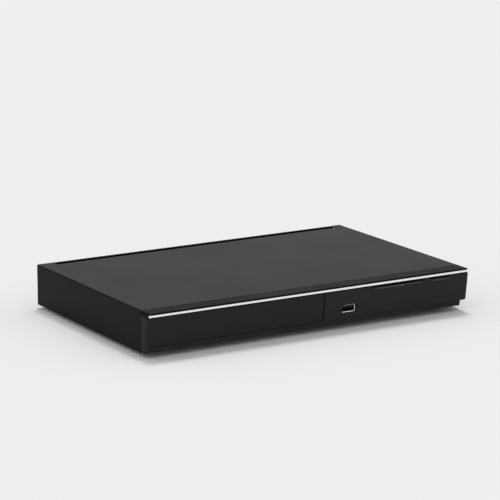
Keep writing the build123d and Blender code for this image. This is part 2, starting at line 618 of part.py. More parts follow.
# ---- disc tray ----
TRAY_LEFT = DISC_X - TRAY_HALF
TRAY_RIGHT = DISC_X + TRAY_HALF
with BuildPart() as disc_tray:
    with BuildSketch(Plane.XY.offset(TRAY_BOTTOM)) as tray_outline:
        with Locations((DISC_X, (TRAY_FRONT + TRAY_REAR) / 2)):
            Rectangle(2 * TRAY_HALF, TRAY_REAR - TRAY_FRONT)
        fillet(tray_outline.vertices().group_by(Axis.Y)[0], 4.0)
    extrude(amount=TRAY_TOP - TRAY_BOTTOM)
    post(DISC_X, DISC_Y, WELL_FLOOR, TRAY_TOP + 1, DISC_R + 0.6, mode=Mode.SUBTRACT)
    post(DISC_X, DISC_Y, SMALL_WELL_FLOOR, TRAY_TOP + 1, 40.6, mode=Mode.SUBTRACT)
    post(DISC_X, DISC_Y, TRAY_BOTTOM - 1, TRAY_TOP + 1, SLOT_HALF, mode=Mode.SUBTRACT)
    slab(DISC_X - SLOT_HALF, DISC_X + SLOT_HALF, DISC_Y, TRAY_REAR + 1, TRAY_BOTTOM - 1,
         TRAY_TOP + 1, mode=Mode.SUBTRACT)
    slab(DISC_X - 15, DISC_X + 15, TRAY_FRONT - 1, DISC_Y - 40, WELL_FLOOR, TRAY_TOP + 1,
         mode=Mode.SUBTRACT)
    chamfer(disc_tray.faces().filter_by(Axis.Z).sort_by(Axis.Z)[-1].edges()
            .filter_by(GeomType.CIRCLE).sort_by(SortBy.RADIUS)[-2:], 0.6)
    slab(TRAY_LEFT + 6, TRAY_RIGHT - 6, TRAY_FRONT, TRAY_FRONT + TRAY_WALL, 14.5, TRAY_BOTTOM)
    for side in (-1, 1):
        x = DISC_X + side * 48.0
        slab(x - 10, x + 10, 34.0, TRAY_REAR - 5, SMALL_WELL_FLOOR, TRAY_TOP + 1,
             mode=Mode.SUBTRACT)
    rack_bar(RACK_X, RACK_X + 5.0, -87.0, TRAY_REAR, 13.2, TRAY_BOTTOM, MODULE, TRAY_GEAR_Y, 180)
save(disc_tray.part, "disc_tray")

# ---- loader frame ----
RAIL_LOW = 17.2
RAIL_HIGH = TRAY_BOTTOM - 0.15
with BuildPart() as loader_frame:
    slab(LOADER_LEFT, LOADER_LEFT + LOADER_WALL, LOADER_FRONT, LOADER_REAR, POST_TOP, LOADER_TOP)
    slab(LOADER_RIGHT - LOADER_WALL, LOADER_RIGHT, LOADER_FRONT, LOADER_REAR, POST_TOP,
         LOADER_TOP)
    slab(LOADER_LEFT + LOADER_WALL, TRAY_LEFT + 4, LOADER_FRONT, LOADER_REAR, RAIL_LOW,
         RAIL_HIGH)
    slab(TRAY_RIGHT - 4, LOADER_RIGHT - LOADER_WALL, LOADER_FRONT, LOADER_REAR, RAIL_LOW,
         RAIL_HIGH)
    slab(LOADER_LEFT, LOADER_RIGHT, LOADER_FRONT, -61.5, FLOOR_LOW, FLOOR_HIGH)
    slab(LOADER_LEFT, LOADER_RIGHT, 60.5, LOADER_REAR, POST_TOP, 18.8)
    for x, y in LOADER_POSTS:
        slab(x - 5, x + 5, y - 5, y + 5, POST_TOP, POST_TOP + 2.0)
        post(x, y, PAN_TOP, POST_TOP, 3.2)
    for y in (-82.0, -8.0, 40.0):
        slab(LOADER_LEFT + LOADER_WALL, TRAY_LEFT + 3, y - 5, y + 5, TRAY_TOP + 0.3, LOADER_TOP)
        slab(TRAY_RIGHT - 3, LOADER_RIGHT - LOADER_WALL, y - 5, y + 5, TRAY_TOP + 0.3,
             LOADER_TOP)
    for x in (DISC_X - 50, DISC_X + 38):
        slab(x, x + 6, 54.3, 60.5, 11.5, 18.8)
        bar_x(PIVOT_Y, PIVOT_Z, x - 1, x + 7, PIN_R + PIN_GAP, mode=Mode.SUBTRACT)
    slab(DISC_X + 1, DISC_X + 6, -61.5, -60.6, FLOOR_LOW, 19.1)
    slab(DISC_X + 1, DISC_X + 6, -61.5, -57.2, 18.4, 19.1)
    slab(DISC_X + 1, DISC_X + 6, -58.1, -57.2, 15.5, 19.1)
    post(LOAD_MOTOR_X, TRAY_GEAR_Y, FLOOR_LOW - 1, FLOOR_HIGH + 1, LOAD_MOTOR_R + 0.05,
         mode=Mode.SUBTRACT)
    post(TRAY_GEAR_X, TRAY_GEAR_Y, FLOOR_HIGH, 17.4, 1.5)
    post(PULLEY_GEAR_X, TRAY_GEAR_Y, FLOOR_HIGH, 18.9, 1.5)
    post(TRAY_GEAR_X, TRAY_GEAR_Y, FLOOR_HIGH, FLOOR_HIGH + 0.6, 3.0)
    post(PULLEY_GEAR_X, TRAY_GEAR_Y, FLOOR_HIGH, FLOOR_HIGH + 0.6, 3.0)
    for x, y in LOADER_POSTS:
        post(x, y, PAN_TOP, POST_TOP + 2.0, 1.6, mode=Mode.SUBTRACT)
        post(x, y, POST_TOP + 2.0, FLOOR_HIGH + 8, 4.2, mode=Mode.SUBTRACT)
save(loader_frame.part, "loader_frame")

with BuildPart() as loading_motor:
    post(LOAD_MOTOR_X, TRAY_GEAR_Y, 4.6, 16.0, LOAD_MOTOR_R)
    fillet(loading_motor.edges().filter_by(GeomType.CIRCLE), 0.8)
    post(LOAD_MOTOR_X, TRAY_GEAR_Y, 16.0, 16.5, 3.5)
save(loading_motor.part, "loading_motor")

with BuildPart() as motor_pulley:
    post(LOAD_MOTOR_X, TRAY_GEAR_Y, BELT_LOW - 0.3, BELT_HIGH + 0.4, SMALL_PULLEY_R + 1.4)
    with BuildSketch(Plane.XY.offset(BELT_LOW)) as groove:
        with Locations((LOAD_MOTOR_X, TRAY_GEAR_Y)):
            Circle(SMALL_PULLEY_R + 2)
            Circle(SMALL_PULLEY_R, mode=Mode.SUBTRACT)
    extrude(groove.sketch, amount=BELT_HIGH - BELT_LOW, mode=Mode.SUBTRACT)
save(motor_pulley.part, "motor_pulley")

with BuildPart() as pulley_gear:
    gear_wheel(PULLEY_GEAR_X, TRAY_GEAR_Y, FLOOR_HIGH + 0.7, BELT_LOW - 0.4, PINION_TEETH,
               MODULE, 15)
    post(PULLEY_GEAR_X, TRAY_GEAR_Y, BELT_LOW - 0.4, BELT_HIGH + 0.4, BIG_PULLEY_R + 1.2)
    with BuildSketch(Plane.XY.offset(BELT_LOW)) as wide_groove:
        with Locations((PULLEY_GEAR_X, TRAY_GEAR_Y)):
            Circle(BIG_PULLEY_R + 2)
            Circle(BIG_PULLEY_R, mode=Mode.SUBTRACT)
    extrude(wide_groove.sketch, amount=BELT_HIGH - BELT_LOW, mode=Mode.SUBTRACT)
    post(PULLEY_GEAR_X, TRAY_GEAR_Y, FLOOR_HIGH, BELT_HIGH + 1, 1.5 + PIN_GAP,
         mode=Mode.SUBTRACT)
save(pulley_gear.part, "pulley_gear")

with BuildPart() as tray_gear:
    gear_wheel(TRAY_GEAR_X, TRAY_GEAR_Y, FLOOR_HIGH + 0.7, BELT_LOW - 0.6, TRAY_TEETH, MODULE, 0)
    with Locations((TRAY_GEAR_X, TRAY_GEAR_Y, BELT_LOW - 0.6)):
        CounterBoreHole(1.5 + PIN_GAP, 8.0, 0.8)
save(tray_gear.part, "tray_gear")

BELT_CLEAR = 0.05
with BuildPart() as loading_belt:
    with BuildSketch(Plane.XY.offset(BELT_LOW + 0.3)) as belt_outer:
        with Locations((LOAD_MOTOR_X, TRAY_GEAR_Y)):
            Circle(SMALL_PULLEY_R + BELT_CLEAR + BELT_THICK)
        with Locations((PULLEY_GEAR_X, TRAY_GEAR_Y)):
            Circle(BIG_PULLEY_R + BELT_CLEAR + BELT_THICK)
        make_hull()
    extrude(belt_outer.sketch, amount=BELT_HIGH - BELT_LOW - 0.6)
    with BuildSketch(Plane.XY.offset(BELT_LOW)) as belt_inner:
        with Locations((LOAD_MOTOR_X, TRAY_GEAR_Y)):
            Circle(SMALL_PULLEY_R + BELT_CLEAR)
        with Locations((PULLEY_GEAR_X, TRAY_GEAR_Y)):
            Circle(BIG_PULLEY_R + BELT_CLEAR)
        make_hull()
    extrude(belt_inner.sketch, amount=BELT_HIGH - BELT_LOW, mode=Mode.SUBTRACT)
save(loading_belt.part, "loading_belt")

# ---- disc clamp ----
BRIDGE_LOW = LOADER_TOP
BRIDGE_HIGH = BRIDGE_LOW + 1.0
with BuildPart() as clamp_bridge:
    slab(LOADER_LEFT, LOADER_RIGHT, DISC_Y - 9, DISC_Y + 9, BRIDGE_LOW, BRIDGE_HIGH)
    post(DISC_X, DISC_Y, BRIDGE_LOW, BRIDGE_HIGH, 21.0)
    for side in (-1, 1):
        y = DISC_Y + side * 8.6
        slab(LOADER_LEFT + 4, DISC_X - 19.5, y - 0.4, y + 0.4, BRIDGE_HIGH, BRIDGE_HIGH + 2.4)
        slab(DISC_X + 19.5, LOADER_RIGHT - 4, y - 0.4, y + 0.4, BRIDGE_HIGH, BRIDGE_HIGH + 2.4)
    with Locations((DISC_X, DISC_Y, BRIDGE_HIGH)):
        Hole(11.0, depth=2.0)
    with Locations(*[(x, DISC_Y, BRIDGE_HIGH) for x in (LOADER_LEFT + 1.25,
                                                      LOADER_RIGHT - 1.25)]):
        Hole(0.9, depth=2.0)
save(clamp_bridge.part, "clamp_bridge")

CLAMP_LOW = SEAT_Z + 1.5
with BuildPart() as clamper:
    post(DISC_X, DISC_Y, CLAMP_LOW, CLAMP_LOW + 1.3, 14.0)
    post(DISC_X, DISC_Y, CLAMP_LOW + 1.3, BRIDGE_HIGH + 0.4, 9.5)
    post(DISC_X, DISC_Y, BRIDGE_HIGH + 0.3, BRIDGE_HIGH + 1.5, 13.4)
    post(DISC_X, DISC_Y, BRIDGE_HIGH + 1.5, BRIDGE_HIGH + 4.0, 9.0)
    post(DISC_X, DISC_Y, CLAMP_LOW - 1, CLAMP_LOW + 1.8, 8.2, mode=Mode.SUBTRACT)
    post(DISC_X, DISC_Y, CLAMP_LOW + 3.0, BRIDGE_HIGH + 4.5, 7.2, mode=Mode.SUBTRACT)
save(clamper.part, "clamper")

with BuildPart() as clamper_magnet:
    post(DISC_X, DISC_Y, CLAMP_LOW + 3.0, BRIDGE_HIGH + 3.6, 7.1)
save(clamper_magnet.part, "clamper_magnet")

# ---- lifting deck ----
FRAME_LOW = 13.8
FRAME_HIGH = 17.0
with BuildPart() as lifting_frame:
    slab(DISC_X - 58, DISC_X + 46, -54.0, 53.5, FRAME_LOW, FRAME_HIGH)
    slab(DISC_X - 51, DISC_X + 40, -48.0, 48.0, FRAME_LOW - 1, FRAME_HIGH + 1,
         mode=Mode.SUBTRACT)
    for x in (DISC_X - 58, DISC_X + 28):
        slab(x + 1, x + 7, 50.0, PIVOT_Y, FRAME_LOW, FRAME_HIGH)
        bar_x(PIVOT_Y, PIVOT_Z, x + 1, x + 7, FRAME_HIGH - PIVOT_Z)
        bar_x(PIVOT_Y, PIVOT_Z, x + 7, x + 14, PIN_R)
    for x in (DISC_X - 20, DISC_X + 20):
        bar_y(x, PIVOT_Z, -61.0, -54.0, PIN_R)
        slab(x - 3, x + 3, -56.4, -54.0, FRAME_LOW, FRAME_HIGH)
    for x, y in ((DISC_X - 51, -48.0), (DISC_X + 31, -48.0), (DISC_X - 51, 38.0),
                 (DISC_X + 31, 38.0)):
        slab(x, x + 9, y, y + 10, FRAME_LOW, FRAME_LOW + 1.2)
save(lifting_frame.part, "lifting_frame")

CAM_Y0 = -60.4
CAM_Y1 = -58.4
PIN_DROP = (PIVOT_Y - LIFT_PIN_Y) * sin(LIFT_ANGLE)
with BuildPart() as cam_slider:
    slab(DISC_X - 27, DISC_X + 40, CAM_Y0, CAM_Y1, 4.4, 18.2)
    for x in (DISC_X - 20, DISC_X + 20):
        slope = degrees(atan2(PIN_DROP, CAM_TRAVEL))
        with BuildSketch(Plane.XZ.offset(-CAM_Y0)) as ramp:
            with Locations((x + CAM_TRAVEL / 2, PIVOT_Z - PIN_DROP / 2)):
                SlotCenterToCenter(sqrt(CAM_TRAVEL ** 2 + PIN_DROP ** 2) + 0.6, 3.8,
                                   rotation=-slope)
        extrude(ramp.sketch, amount=CAM_Y0 - CAM_Y1, mode=Mode.SUBTRACT)
    slab(DISC_X - 2, DISC_X + 4, CAM_Y0 - 2.6, CAM_Y0, 4.4, 7.0)
save(cam_slider.part, "cam_slider")

DAMPERS = (
    (DISC_X - 46.0, -43.0),
    (DISC_X + 35.0, -43.0),
    (DISC_X - 46.0, 43.0),
    (DISC_X + 35.0, 43.0),
)
with BuildPart() as mechanism_deck:
    slab(DISC_X - 50.5, DISC_X + 39.5, -47.5, 47.5, DECK_LOW, DECK_HIGH)
    slab(DISC_X - 12.5, DISC_X + 12.5, DISC_Y + 14.5, 42.0, DECK_LOW - 1, DECK_HIGH + 1,
         mode=Mode.SUBTRACT)
    with Locations((DISC_X, DISC_Y, DECK_HIGH)):
        Hole(12.6, depth=2.0)
    with Locations((SLED_MOTOR_X, SLED_MOTOR_Y, DECK_HIGH)):
        Hole(6.6, depth=2.0)
    post(SLED_GEAR_X, SLED_GEAR_Y, SLED_WHEEL_LOW - 0.4, DECK_LOW, 0.8)
    post(SLED_GEAR_X, SLED_GEAR_Y, SLED_MESH_HIGH + 0.2, DECK_LOW, 2.2)
    with Locations(*[(x, y, DECK_HIGH) for x, y in DAMPERS]):
        Hole(2.8, depth=2.0)
    for side in (-1, 1):
        x = DISC_X + side * ROD_SPAN
        for y in (-27.0, 43.5):
            slab(x - 2.8, x + 2.8, y - 1.5, y + 1.5, ROD_Z - 2.6, DECK_LOW)
        bar_y(x, ROD_Z, -30.0, 46.0, ROD_R, mode=Mode.SUBTRACT)
save(mechanism_deck.part, "mechanism_deck")

with BuildPart() as deck_dampers:
    for x, y in DAMPERS:
        post(x, y, FRAME_LOW + 1.2, DECK_LOW, 4.0)
        post(x, y, DECK_LOW, DECK_HIGH, 2.75)
        post(x, y, DECK_HIGH, DECK_HIGH + 0.8, 4.0)
        post(x, y, FRAME_LOW, DECK_HIGH + 1, 1.3, mode=Mode.SUBTRACT)
save(deck_dampers.part, "deck_dampers")

with BuildPart() as damper_screws:
    for x, y in DAMPERS:
        post(x, y, FRAME_LOW + 1.2, DECK_HIGH + 0.8, 1.2)
        post(x, y, DECK_HIGH + 0.8, DECK_HIGH + 1.5, 2.4)
save(damper_screws.part, "damper_screws")

with BuildPart() as guide_rods:
    for side in (-1, 1):
        bar_y(DISC_X + side * ROD_SPAN, ROD_Z, -28.5, 45.0, ROD_R)
save(guide_rods.part, "guide_rods")

SHAFT_R = 1.0
with BuildPart() as spindle_motor:
    post(DISC_X, DISC_Y, 13.0, 13.8, 12.9)
    post(DISC_X, DISC_Y, 13.8, 16.2, 10.4)
    slab(DISC_X - 15, DISC_X + 15, -47.0, DISC_Y - 6, 15.4, DECK_LOW)
    post(DISC_X, DISC_Y, 15.4, DECK_LOW, 13.4)
    post(DISC_X, DISC_Y, 13.8, DECK_LOW, SHAFT_R + PIN_GAP, mode=Mode.SUBTRACT)
save(spindle_motor.part, "spindle_motor")

with BuildPart() as rotor_can:
    post(DISC_X, DISC_Y, 16.7, 21.7, 11.8)
    fillet(rotor_can.edges().filter_by(GeomType.CIRCLE).group_by(Axis.Z)[-1], 1.0)
    post(DISC_X, DISC_Y, 14.0, 16.7, SHAFT_R)
save(rotor_can.part, "rotor_can")

with BuildPart() as turntable:
    post(DISC_X, DISC_Y, 21.7, SEAT_Z - 0.4, 14.5)
    post(DISC_X, DISC_Y, SEAT_Z - 0.4, SEAT_Z + 0.9, 7.4)
    with BuildSketch(Plane.XY.offset(SEAT_Z + 0.9)) as hub_cone:
        with Locations((DISC_X, DISC_Y)):
            Circle(7.4)
    extrude(hub_cone.sketch, amount=1.0, taper=40)
save(turntable.part, "turntable")

with BuildPart() as turntable_pad:
    with BuildSketch(Plane.XY.offset(SEAT_Z - 0.4)) as pad_ring:
        with Locations((DISC_X, DISC_Y)):
            Circle(14.3)
            Circle(9.0, mode=Mode.SUBTRACT)
    extrude(amount=0.4)
save(turntable_pad.part, "turntable_pad")

PICKUP_FRONT = LENS_Y - 8.5
PICKUP_REAR = LENS_Y + 15.0
with BuildPart() as pickup_body:
    plan_profile(
        [
            (DISC_X - 22, PICKUP_FRONT),
            (DISC_X + 22, PICKUP_FRONT),
            (DISC_X + 22, PICKUP_REAR - 3),
            (DISC_X + 16, PICKUP_REAR),
            (DISC_X - 16, PICKUP_REAR),
            (DISC_X - 22, PICKUP_REAR - 3),
        ],
        11.0,
        16.0,
    )
    slab(DISC_X - 10, DISC_X + 10, LENS_Y - 7, LENS_Y + 10, 16.0, 19.2)
    slab(DISC_X + 22, DISC_X + 31, PICKUP_FRONT, PICKUP_FRONT + 5, 11.4, 16.1)
    slab(DISC_X + 22, DISC_X + 31, PICKUP_REAR - 5, PICKUP_REAR, 11.4, 16.1)
    slab(DISC_X - 31, DISC_X - 22, LENS_Y - 3, LENS_Y + 3, 11.4, 16.1)
    bar_y(DISC_X + ROD_SPAN, ROD_Z, -40, 40, ROD_R + PIN_GAP, mode=Mode.SUBTRACT)
    slab(DISC_X - 32, DISC_X - ROD_SPAN + ROD_R, LENS_Y - 4, LENS_Y + 4, ROD_Z - ROD_R - PIN_GAP,
         ROD_Z + ROD_R + PIN_GAP, mode=Mode.SUBTRACT)
    slab(DISC_X - 6.4, DISC_X + 6.4, LENS_Y - 5.4, LENS_Y + 8.0, 17.0, 20.0, mode=Mode.SUBTRACT)
save(pickup_body.part, "pickup_body")

with BuildPart() as pickup_rack:
    rack_bar(SLED_RACK_X, DISC_X - 31.5, DISC_Y - 8.0, DISC_Y + 36.0, SLED_MESH_LOW,
             SLED_MESH_HIGH, FINE_MODULE, SLED_GEAR_Y, 180)
    slab(DISC_X - 31.5, DISC_X - 22.0, LENS_Y + 3.5, LENS_Y + 11.0, SLED_MESH_LOW, 12.4)
save(pickup_rack.part, "pickup_rack")

with BuildPart() as lens_holder:
    slab(DISC_X - 5.4, DISC_X + 5.4, LENS_Y - 4.6, LENS_Y + 7.0, 18.0, 21.2)
    post(DISC_X, LENS_Y, 21.2, 22.0, 4.0)
    post(DISC_X, LENS_Y, 19.0, 22.5, 2.5, mode=Mode.SUBTRACT)
save(lens_holder.part, "lens_holder")

with BuildPart() as objective_lens:
    post(DISC_X, LENS_Y, LENS_TOP - 2.4, LENS_TOP, LENS_R)
    with Locations((DISC_X, LENS_Y, LENS_TOP - LENS_DOME_R)):
        Sphere(LENS_DOME_R, mode=Mode.INTERSECT)
save(objective_lens.part, "objective_lens")

with BuildPart() as sled_gear:
    gear_wheel(SLED_GEAR_X, SLED_GEAR_Y, SLED_MESH_LOW - 0.2, SLED_MESH_HIGH,
               SLED_PINION_TEETH, FINE_MODULE, 0)
    gear_wheel(SLED_GEAR_X, SLED_GEAR_Y, SLED_WHEEL_LOW, SLED_WHEEL_HIGH, SLED_TEETH,
               FINE_MODULE, SLED_MESH_ANGLE)
    post(SLED_GEAR_X, SLED_GEAR_Y, SLED_WHEEL_LOW - 1, SLED_MESH_HIGH + 1, 0.8 + PIN_GAP,
         mode=Mode.SUBTRACT)
save(sled_gear.part, "sled_gear")

with BuildPart() as sled_motor:
    post(SLED_MOTOR_X, SLED_MOTOR_Y, 13.4, 18.6, 6.5)
    fillet(sled_motor.edges().filter_by(GeomType.CIRCLE), 0.5)
    slab(SLED_MOTOR_X - 2, SLED_MOTOR_X + 2, SLED_MOTOR_Y - 9, SLED_MOTOR_Y + 9, 15.6, DECK_LOW)
    post(SLED_MOTOR_X, SLED_MOTOR_Y, 12.9, 13.4, 2.0)
save(sled_motor.part, "sled_motor")

with BuildPart() as sled_pinion:
    gear_wheel(SLED_MOTOR_X, SLED_MOTOR_Y, SLED_WHEEL_LOW, SLED_WHEEL_HIGH,
               SLED_MOTOR_TEETH, FINE_MODULE, SLED_MESH_ANGLE + 180 + 18)
    post(SLED_MOTOR_X, SLED_MOTOR_Y, SLED_WHEEL_HIGH, 12.8, 0.75)
save(sled_pinion.part, "sled_pinion")

# ---- boards and sockets ----
with BuildPart() as main_board:
    slab(MAIN_LEFT, MAIN_RIGHT, BOARD_FRONT, BOARD_REAR, POST_TOP, BOARD_TOP)
    fillet(main_board.edges().filter_by(Axis.Z), 1.0)
    slab(RIBBON_LEFT - 1, RIBBON_RIGHT + 1, BOARD_FRONT + 1, BOARD_FRONT + 5, BOARD_TOP,
         BOARD_TOP + 3.0)
    slab(MAIN_LEFT + 0.5, MAIN_LEFT + 4.5, 19.0, 35.0, BOARD_TOP, BOARD_TOP + 3.0)
    slab(MAIN_RIGHT - 5.0, MAIN_RIGHT - 1.0, 20.0, 34.0, BOARD_TOP, BOARD_TOP + 4.0)
    with Locations(*[(x, y, BOARD_TOP) for x, y in BOARD_POSTS[:4]]):
        Hole(1.3, depth=BOARD)
save(main_board.part, "main_board")

CHIPS = (
    (38.0, 30.0, 24.0, 24.0, 1.8),
    (60.0, 42.0, 10.0, 18.0, 1.2),
    (60.0, 18.0, 10.0, 18.0, 1.2),
    (24.0, 62.0, 14.0, 8.0, 1.4),
)
CANS = ((24.0, 4.0), (36.0, 4.0), (48.0, 4.0), (62.0, 58.0), (62.0, 68.0))
with BuildPart() as main_chips:
    for x, y, length, depth, height in CHIPS:
        slab(x - length / 2, x + length / 2, y - depth / 2, y + depth / 2, BOARD_TOP,
             BOARD_TOP + height)
    for x, y in CANS:
        post(x, y, BOARD_TOP, BOARD_TOP + 8.0, 3.1)
save(main_chips.part, "main_chips")

with BuildPart() as power_board:
    slab(POWER_LEFT, POWER_RIGHT, BOARD_FRONT, BOARD_REAR, POST_TOP, BOARD_TOP)
    fillet(power_board.edges().filter_by(Axis.Z), 1.0)
    slab(POWER_LEFT + 1.0, POWER_LEFT + 5.0, 20.0, 34.0, BOARD_TOP, BOARD_TOP + 4.0)
    with Locations(*[(x, y, BOARD_TOP) for x, y in BOARD_POSTS[4:]]):
        Hole(1.3, depth=BOARD)
save(power_board.part, "power_board")

with BuildPart() as transformer:
    slab(103.0, 129.0, 14.0, 40.0, BOARD_TOP, BOARD_TOP + 5.0)
    slab(101.0, 131.0, 18.0, 36.0, BOARD_TOP + 5.0, BOARD_TOP + 20.0)
    slab(107.0, 125.0, 12.5, 41.5, BOARD_TOP + 8.0, BOARD_TOP + 17.0)
save(transformer.part, "transformer")

with BuildPart() as capacitors:
    post(140.0, 48.0, BOARD_TOP, BOARD_TOP + 24.0, 8.0)
    for y in (-6.0, 4.0):
        for x in (102.0, 113.0, 124.0):
            post(x, y, BOARD_TOP, BOARD_TOP + 14.0, 4.0)
save(capacitors.part, "capacitors")

INLET_BACK = 78.0
with BuildPart() as mains_inlet:
    front_slot(INLET_X, INLET_Z, INLET_BACK, REAR_Y, 24.2, 15.2, 1.4, mode=Mode.ADD)
    front_slot(INLET_X, INLET_Z, REAR_Y, REAR_Y + 1.6, 30.0, 19.0, 2.0, mode=Mode.ADD)
    slab(INLET_X - 10, INLET_X + 10, INLET_BACK + 2, BOARD_REAR, BOARD_TOP, INLET_Z)
    for side in (-1, 1):
        bar_y(INLET_X + side * 4.3, INLET_Z, INLET_BACK + 4.5, REAR_Y + 2, 4.4,
              mode=Mode.SUBTRACT)
    slab(INLET_X - 4.3, INLET_X + 4.3, INLET_BACK + 4.5, REAR_Y + 2, INLET_Z - 3.6,
         INLET_Z + 3.6, mode=Mode.SUBTRACT)
    for side in (-1, 1):
        bar_y(INLET_X + side * 4.3, INLET_Z, INLET_BACK + 4.5, REAR_Y - 4.0, 1.2)
save(mains_inlet.part, "mains_inlet")

HDMI_FRONT = 85.0
HDMI_REAR = REAR_Y + 0.6
with BuildPart() as hdmi_socket:
    hdmi_outer = [
        (HDMI_X - 7.5, HDMI_Z + 2.8),
        (HDMI_X - 7.5, HDMI_Z - 1.0),
        (HDMI_X - 5.6, HDMI_Z - 2.8),
        (HDMI_X + 5.6, HDMI_Z - 2.8),
        (HDMI_X + 7.5, HDMI_Z - 1.0),
        (HDMI_X + 7.5, HDMI_Z + 2.8),
    ]
    hdmi_inner = [
        (HDMI_X - 7.0, HDMI_Z + 2.3),
        (HDMI_X - 7.0, HDMI_Z - 0.8),
        (HDMI_X - 5.4, HDMI_Z - 2.3),
        (HDMI_X + 5.4, HDMI_Z - 2.3),
        (HDMI_X + 7.0, HDMI_Z - 0.8),
        (HDMI_X + 7.0, HDMI_Z + 2.3),
    ]
    front_profile(hdmi_outer, HDMI_FRONT, HDMI_REAR)
    front_profile(hdmi_inner, HDMI_FRONT + 1.5, HDMI_REAR + 1, mode=Mode.SUBTRACT)
    slab(HDMI_X - 5.6, HDMI_X + 5.6, HDMI_FRONT + 1.5, HDMI_REAR - 1.2, HDMI_Z - 0.1,
         HDMI_Z + 1.2)
save(hdmi_socket.part, "hdmi_socket")

with BuildPart() as av_jacks:
    slab(JACK_XS[0] - 6, JACK_XS[-1] + 6, 81.0, PANEL_INNER_Y, BOARD_TOP, JACK_Z + 6)
    for x in JACK_XS:
        bar_y(x, JACK_Z, PANEL_INNER_Y, REAR_Y + 0.8, 5.0)
        bar_y(x, JACK_Z, REAR_Y + 0.8, REAR_Y + JACK_REACH, 4.15)
        bar_y(x, JACK_Z, REAR_Y - 4.0, REAR_Y + JACK_REACH + 1, 1.65, mode=Mode.SUBTRACT)
save(av_jacks.part, "av_jacks")


def flat_ribbon(points, bend, plane, width):
    """A flat cable along rounded corners in the given plane, drawn out to its width."""
    with BuildSketch(plane) as edge:
        with BuildLine() as route:
            FilletPolyline(*points, radius=bend)
        trace(route.line, line_width=RIBBON_THICK)
    extrude(edge.sketch, amount=width)


FLOOR_RUN_Z = PAN_TOP + 0.4
with BuildPart() as inner_cables:
    flat_ribbon(
        [(KEY_BOARD_Y + BOARD + 3.0, 11.5), (-78.0, 11.5), (-68.0, FLOOR_RUN_Z),
         (-40.0, FLOOR_RUN_Z), (-28.0, 11.0), (BOARD_FRONT + 1.0, 11.0)],
        3.0, Plane.YZ.offset(RIBBON_LEFT), RIBBON_RIGHT - RIBBON_LEFT)
    flat_ribbon(
        [(MAIN_LEFT + 0.5, 11.0), (4.0, 11.0), (4.0, FLOOR_RUN_Z), (-44.0, FLOOR_RUN_Z)],
        2.0, Plane.XZ.offset(-33.0), 12.0)
    for step in range(5):
        y = 22.0 + 2.5 * step
        bar_x(y, BOARD_TOP + 2.5, MAIN_RIGHT - 1.0, POWER_LEFT + 1.0, 0.65)
save(inner_cables.part, "inner_cables")

with BuildPart() as inner_screws:
    for x, y in BOARD_POSTS:
        post(x, y, POST_TOP - 3.5, BOARD_TOP, 1.0)
        post(x, y, BOARD_TOP, BOARD_TOP + 1.4, 2.6)
    for x, y in LOADER_POSTS:
        post(x, y, FOOT_HEIGHT, POST_TOP + 2.0, 1.0)
        post(x, y, POST_TOP + 2.0, POST_TOP + 3.4, 2.6)
save(inner_screws.part, "inner_screws")
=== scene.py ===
"""A slim disc player with a motorised tray: finishes, small fittings and a plain studio."""
import math
import bmesh
import bpy
from mathutils import Matrix, Vector


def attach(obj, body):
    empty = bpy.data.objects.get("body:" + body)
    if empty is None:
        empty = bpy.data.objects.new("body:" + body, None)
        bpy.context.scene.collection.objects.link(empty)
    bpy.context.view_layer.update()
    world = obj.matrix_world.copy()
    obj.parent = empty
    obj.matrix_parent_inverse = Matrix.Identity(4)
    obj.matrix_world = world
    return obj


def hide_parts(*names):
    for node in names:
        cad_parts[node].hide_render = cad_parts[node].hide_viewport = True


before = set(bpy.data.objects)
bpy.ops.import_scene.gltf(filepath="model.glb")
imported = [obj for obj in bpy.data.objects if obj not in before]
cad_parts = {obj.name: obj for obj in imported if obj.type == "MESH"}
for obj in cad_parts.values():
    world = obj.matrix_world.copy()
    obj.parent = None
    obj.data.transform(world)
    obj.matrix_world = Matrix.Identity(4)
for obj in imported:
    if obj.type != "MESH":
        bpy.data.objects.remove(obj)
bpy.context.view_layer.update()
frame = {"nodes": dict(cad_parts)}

# Lengths are in millimetres, in the frame of the part.
SHARP_ANGLE = math.radians(35)
WELD_M = 1e-7
NOISE_LOW, NOISE_HIGH = 0.3, 0.7
SPANGLE = 9.0
TRACK_PITCH, TRACK_RISE = 7.0, 0.04
STRIP_BOX = ((-155.7, -105.0, 35.1), (155.7, -103.45, 37.1))
STRIP_CORNER, STRIP_EDGE = 0.9, 0.2
# Half width, half height and corner radius of the port shell's sections.
PORT_OUTER, PORT_LIP, PORT_INNER = (6.55, 2.85, 0.6), (6.5, 2.8, 0.6), (6.2, 2.5, 0.4)
PORT_SIDE_FLARE = 0.3
# A section's point lies on the flat of a side where its direction is this close to the axis.
PORT_FLAT = 0.95
USB_X, USB_Z, USB_FRONT, USB_REAR = 35.4, 18.0, -100.8, -86.8
USB_CONTACTS, USB_CONTACT_PITCH, USB_CONTACT_HALF = 4, 2.3, 0.5
USB_CONTACT_Y, USB_CONTACT_Z = (-99.2, -90.0), (18.08, 18.22)
BOBBIN_BOX = ((103.0, 14.0, 9.6), (129.0, 40.0, 14.5))
CORE_BARS = (((101.0, 18.0, 14.6), (131.0, 36.0, 17.5)),
             ((101.0, 18.0, 26.7), (131.0, 36.0, 29.6)),
             ((101.0, 18.0, 17.5), (106.8, 36.0, 26.7)),
             ((125.2, 18.0, 17.5), (131.0, 36.0, 26.7)))
WINDING_BOX = ((107.0, 12.5, 17.6), (125.0, 41.5, 26.6))
